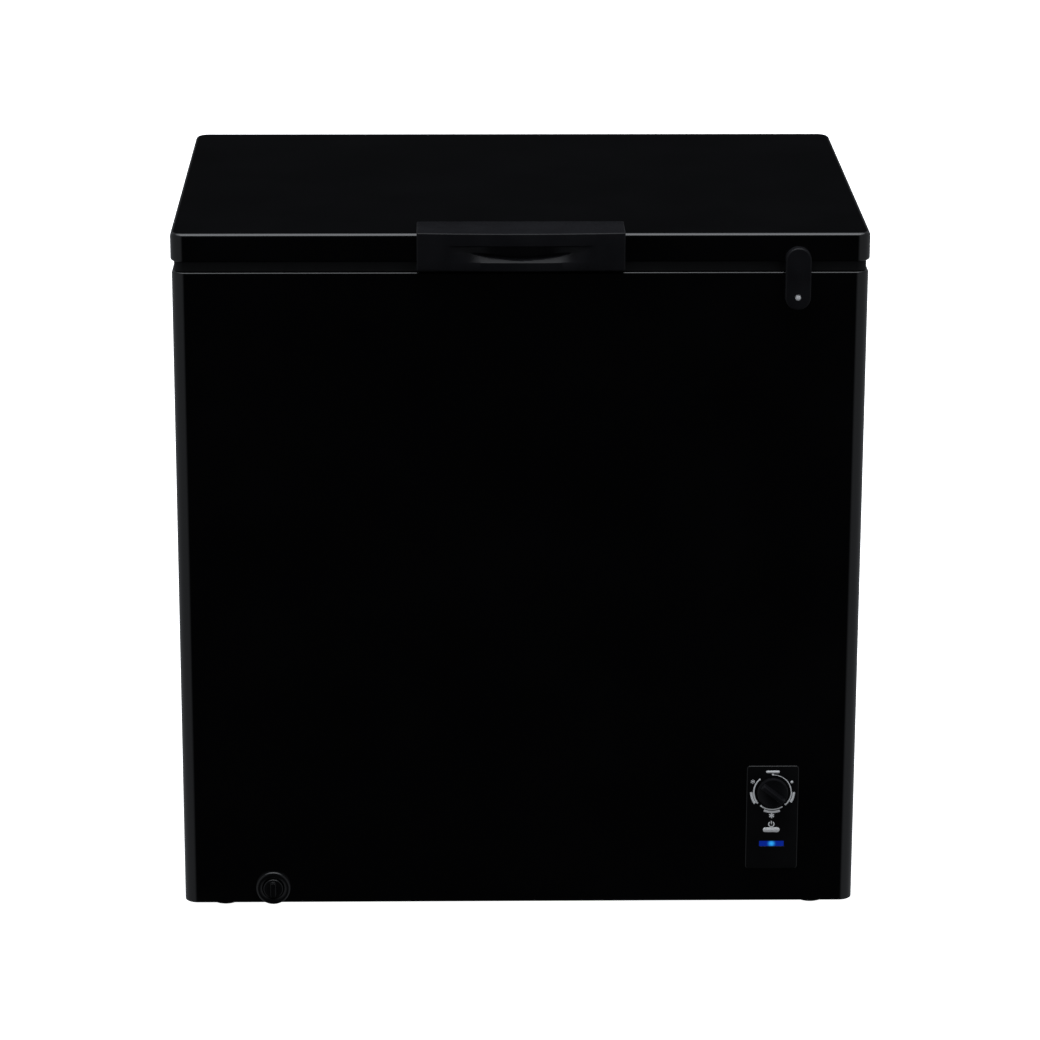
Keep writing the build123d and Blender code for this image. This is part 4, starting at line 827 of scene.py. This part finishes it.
bezel = piece("drain_ring", bezel_bm, "cabinet", "black_plastic", ["drain_bezel"])
dial = softened("drain_dial", 0.4 * mm)
for made in (bezel, dial):
    made.data.materials[0] = finishes["gloss_black"].material

# %% [markdown]
# ## The hinge springs
# Each packed spring is a stack of rings. A real one is a coil, so a small circle is swept along a helix:
# spin with a step along Z turns one point into the helix, and the curve's own bevel gives the wire.


# %% Wires and coils
def wire_from(name, bm, radius, body, slot, stands_for=(), closed=False, sides=3):
    """Turns a chain of edges into round wire."""
    mesh = bpy.data.meshes.new(name)
    bm.to_mesh(mesh)
    bm.free()
    holder = bpy.data.objects.new(name, mesh)
    bpy.context.scene.collection.objects.link(holder)
    with bpy.context.temp_override(
        active_object=holder, object=holder, selected_objects=[holder], selected_editable_objects=[holder]
    ):
        bpy.ops.object.convert(target="CURVE")
    holder.data.bevel_depth = radius
    holder.data.bevel_resolution = sides
    holder.data.use_fill_caps = not closed
    bpy.context.view_layer.update()
    solid = bpy.data.meshes.new_from_object(holder.evaluated_get(bpy.context.evaluated_depsgraph_get()))
    bpy.data.objects.remove(holder)
    bm = bmesh.new()
    bm.from_mesh(solid)
    bpy.data.meshes.remove(solid)
    bmesh.ops.recalc_face_normals(bm, faces=bm.faces)
    return piece(name, bm, body, slot, stands_for)


spring_low, spring_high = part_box("hinge_springs")
wire_radius = 0.9 * mm
spring_radius = (spring_high.y - spring_low.y) / 2 - wire_radius
spring_y = (spring_high.y + spring_low.y) / 2
spring_turns = 12
coils = bmesh.new()
for side in (-1, 1):
    x = side * (spring_high.x - spring_radius - wire_radius)
    start = coils.verts.new((x + spring_radius, spring_y, spring_low.z + wire_radius))
    rise = (spring_high.z - spring_low.z - 2 * wire_radius) / (spring_turns * 20)
    bmesh.ops.spin(
        coils, geom=[start], cent=(x, spring_y, 0), axis=(0, 0, 1), angle=2 * math.pi * spring_turns,
        steps=spring_turns * 20, dvec=(0, 0, rise),
    )
wire_from("hinge_spring_coils", coils, wire_radius, "hinge_rod", "spring_steel", ["hinge_springs"])

# %% [markdown]
# ## The basket
# A wire basket is bent, not built of straight sticks: each wire goes down one side, across the floor and up
# the other in one piece, and a heavier ring round the top carries them. Each path is a chain of a few points
# with its corners rounded by a vertex bevel.

# %% Basket
rim_low, rim_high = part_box("basket_rim")
mesh_low, mesh_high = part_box("basket_wires")
rim_wire = (rim_high.z - rim_low.z) / 2
rim_z = (rim_high.z + rim_low.z) / 2


def bent(bm, points, bend, closed=False):
    """A chain of edges through the points, with its corners rounded."""
    verts = [bm.verts.new(point) for point in points]
    pairs = list(zip(verts, verts[1:] + verts[:1] if closed else verts[1:]))
    for pair in pairs:
        bm.edges.new(pair)
    corners = verts if closed else verts[1:-1]
    bmesh.ops.bevel(
        bm, geom=corners, offset=bend, offset_type="OFFSET", segments=6, profile=0.5, affect="VERTICES",
        clamp_overlap=True, material=-1,
    )


rim = bmesh.new()
x0, x1 = rim_low.x + rim_wire, rim_high.x - rim_wire
y0, y1 = rim_low.y + rim_wire, rim_high.y - rim_wire
bent(rim, [(x0, y0, rim_z), (x1, y0, rim_z), (x1, y1, rim_z), (x0, y1, rim_z)], 14 * mm, closed=True)
wire_from("basket_top_ring", rim, rim_wire, "basket", "white_wire", ["basket_rim"], closed=True, sides=5)

mesh_wire = 1.5 * mm
belt_wire = 1.75 * mm
web = bmesh.new()
wx0, wx1 = mesh_low.x + 2 * mesh_wire, mesh_high.x - 2 * mesh_wire
wy0, wy1 = mesh_low.y + 2 * mesh_wire, mesh_high.y - 2 * mesh_wire
floor_z = mesh_low.z + mesh_wire
wire_bend = 9 * mm
crossing = 13
running = 7
for index in range(crossing):
    y = wy0 + 10 * mm + (wy1 - wy0 - 20 * mm) * index / (crossing - 1)
    high = rim_z - 0.5 * mm
    low = floor_z + 2 * mesh_wire
    bent(web, [(wx0, y, high), (wx0, y, low), (wx1, y, low), (wx1, y, high)], wire_bend)
for index in range(running):
    x = wx0 + 16 * mm + (wx1 - wx0 - 32 * mm) * index / (running - 1)
    high = rim_z - 5.2 * mm
    bent(web, [(x, wy0, high), (x, wy0, floor_z), (x, wy1, floor_z), (x, wy1, high)], wire_bend)
wire_from("basket_mesh", web, mesh_wire, "basket", "white_wire", ["basket_wires"])

belts = bmesh.new()
for level in (floor_z + 0.28 * (rim_z - floor_z), floor_z + 0.62 * (rim_z - floor_z)):
    out = mesh_wire + belt_wire
    bent(belts, [(wx0 - out, wy0 - out, level), (wx1 + out, wy0 - out, level), (wx1 + out, wy1 + out, level),
                 (wx0 - out, wy1 + out, level)], 8 * mm, closed=True)
for y in (wy0, wy1):
    belts.edges.new([belts.verts.new((x, y, rim_z - 4.5 * mm)) for x in (x0 + 3 * mm, x1 - 3 * mm)])
wire_from("basket_belts", belts, belt_wire, "basket", "white_wire")

# %% [markdown]
# ## Easing the other edges
# No real edge is perfectly sharp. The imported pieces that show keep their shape, but a merged copy of each
# gets a small bevel, so that every edge can catch a line of light. The key's cylinder is spun with a slightly
# domed face, which is what makes a real one show as a bright dot.

# %% The key's cylinder
key_low, key_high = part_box("lock_cylinder")
key_axis = Vector(((key_low.x + key_high.x) / 2, 0, (key_low.z + key_high.z) / 2))
key_radius = (key_high.x - key_low.x) / 2
dome = [(0.0, key_high.y)] + [(key_radius, key_high.y), (key_radius, key_low.y + 1.4 * mm)]
for step in range(1, 9):
    turn = math.pi / 2 * step / 8
    dome.append((key_radius * math.cos(turn), key_low.y + 1.4 * mm * (1.0 - math.sin(turn))))
dome[-1] = (0.0, key_low.y)
key_bm = turned(dome, key_axis, 48)
key = piece("key_cylinder", key_bm, body_with("lock_cylinder"), "chrome", ["lock_cylinder"])
finishes["satin_silver"] = moulded("satin_silver", (0.86, 0.87, 0.88), 0.3, grain=0.000004)
key.data.materials[0] = finishes["satin_silver"].material

# %% Eased copies
eased = {
    "control_panel": 0.35, "lock_housing": 0.3, "lock_keeper": 0.25,
    "side_vent_grille": 0.3, "rear_cover": 0.12, "hinge_brackets": 0.3, "hinge_leaves": 0.3,
    "hinge_rods": 0.2, "compressor_terminal_cover": 0.6, "floor_drain_bush": 0.3, "floor_drain_plug": 0.3,
    "top_collar": 0.5, "lid_liner": 0.4, "lid_gasket": 0.5, "feet": 0.4, "cord_grommet": 0.3,
}
for node, width in eased.items():
    softened(node, width * mm)

# %% [markdown]
# ## Floor, light and camera
# Black gloss shows only what it reflects. Large soft lights above and beside the freezer draw thin lines on
# its bends, and the room between them stays dark, so the flat faces stay black. The pale floor and the white
# backdrop are seen by the camera, but they are kept out of the reflections, as black cloth does in a studio.

# %% Floor and backdrop
floor_bm = bmesh.new()
bmesh.ops.create_grid(floor_bm, x_segments=1, y_segments=1, size=9.0)
floor_mesh = bpy.data.meshes.new("studio_floor")
floor_bm.to_mesh(floor_mesh)
floor_bm.free()
floor = bpy.data.objects.new("studio_floor", floor_mesh)
bpy.context.scene.collection.objects.link(floor)
pale = Finish("pale_floor", specular=0.0)
drift = pale.noise(0.8, 2.0)
tiles = pale.colours(drift, (0.80, 0.80, 0.80), (0.84, 0.84, 0.84))
pale.set(base_color=tiles, roughness=drift * 0.1 + 0.8)
pale.set(emission_color=(1.0, 1.0, 1.0, 1.0))
pale.shader.inputs["Emission Strength"].default_value = 1.0
floor_mesh.materials.append(pale.material)
floor.visible_glossy = False
floor.visible_diffuse = False

# %% [markdown]
# The room is drawn in the world shader, by direction. Straight up is a wide bright ceiling, which lights the
# bends along every top edge. Far left and right are dimmer walls, which light the upright bends. Everything
# between them is nearly black, and the camera alone sees the plain white backdrop.

# %% Room
world = bpy.data.worlds.new("studio")
bpy.context.scene.world = world
room = Network(world)
backdrop = room.tree.nodes["Background"]
backdrop.inputs["Color"].default_value = (1.0, 1.0, 1.0, 1.0)
towards = room.node("ShaderNodeSeparateXYZ", None, {0: room.node("ShaderNodeTexCoord")}, "X")
upward = Value(room, towards.socket.node.outputs["Z"])
ceiling = room.steps(upward, 0.70, 0.90, smooth=True)
walls = room.steps(abs(towards), 0.12, 0.50, smooth=True)
strength = ceiling * 2.3 + walls * (1.0 - ceiling) * 0.28 + 0.0095
glow = room.node("ShaderNodeBackground", None, {"Color": (0.90, 0.94, 1.0, 1.0), "Strength": strength})
seen = room.node("ShaderNodeLightPath", output="Is Camera Ray")
choice = room.node("ShaderNodeMixShader", None, {0: seen, 1: glow, 2: Value(room, backdrop.outputs[0])})
room.feed(room.tree.nodes["World Output"].inputs["Surface"], choice)


# %% Lights
def softbox(name, place, aim, width, height, power):
    """A rectangular light that points at aim and stays out of the camera's sight."""
    data = bpy.data.lights.new(name, "AREA")
    data.shape = "RECTANGLE"
    data.size = width
    data.size_y = height
    data.energy = power
    lamp = bpy.data.objects.new(name, data)
    bpy.context.scene.collection.objects.link(lamp)
    towards = Vector(aim) - Vector(place)
    lamp.matrix_world = Matrix.Translation(place) @ towards.to_track_quat("-Z", "Y").to_matrix().to_4x4()
    lamp.visible_camera = False
    return lamp


softbox("overhead", (0.0, -0.7, 3.0), (0.0, -0.1, 0.4), 2.6, 1.2, 14.0)

# %% Camera
view = bpy.data.cameras.new("front_view")
view.lens = 140.4
view.shift_y = -0.05
view.clip_end = 50.0
camera = bpy.data.objects.new("front_view", view)
bpy.context.scene.collection.objects.link(camera)
ahead = Vector((-0.0887, -4.5797, 1.9395))
stand = Vector((0.0, lid_low.y, 0.0)) + ahead
yaw, pitch, roll = (math.radians(angle) for angle in (1.106, 16.683, 0.175))
camera.matrix_world = (
    Matrix.Translation(stand)
    @ Matrix.Rotation(-yaw, 4, "Z")
    @ Matrix.Rotation(math.pi / 2 - pitch, 4, "X")
    @ Matrix.Rotation(roll, 4, "Z")
)
bpy.context.scene.camera = camera
bpy.context.scene.view_settings.view_transform = "Standard"
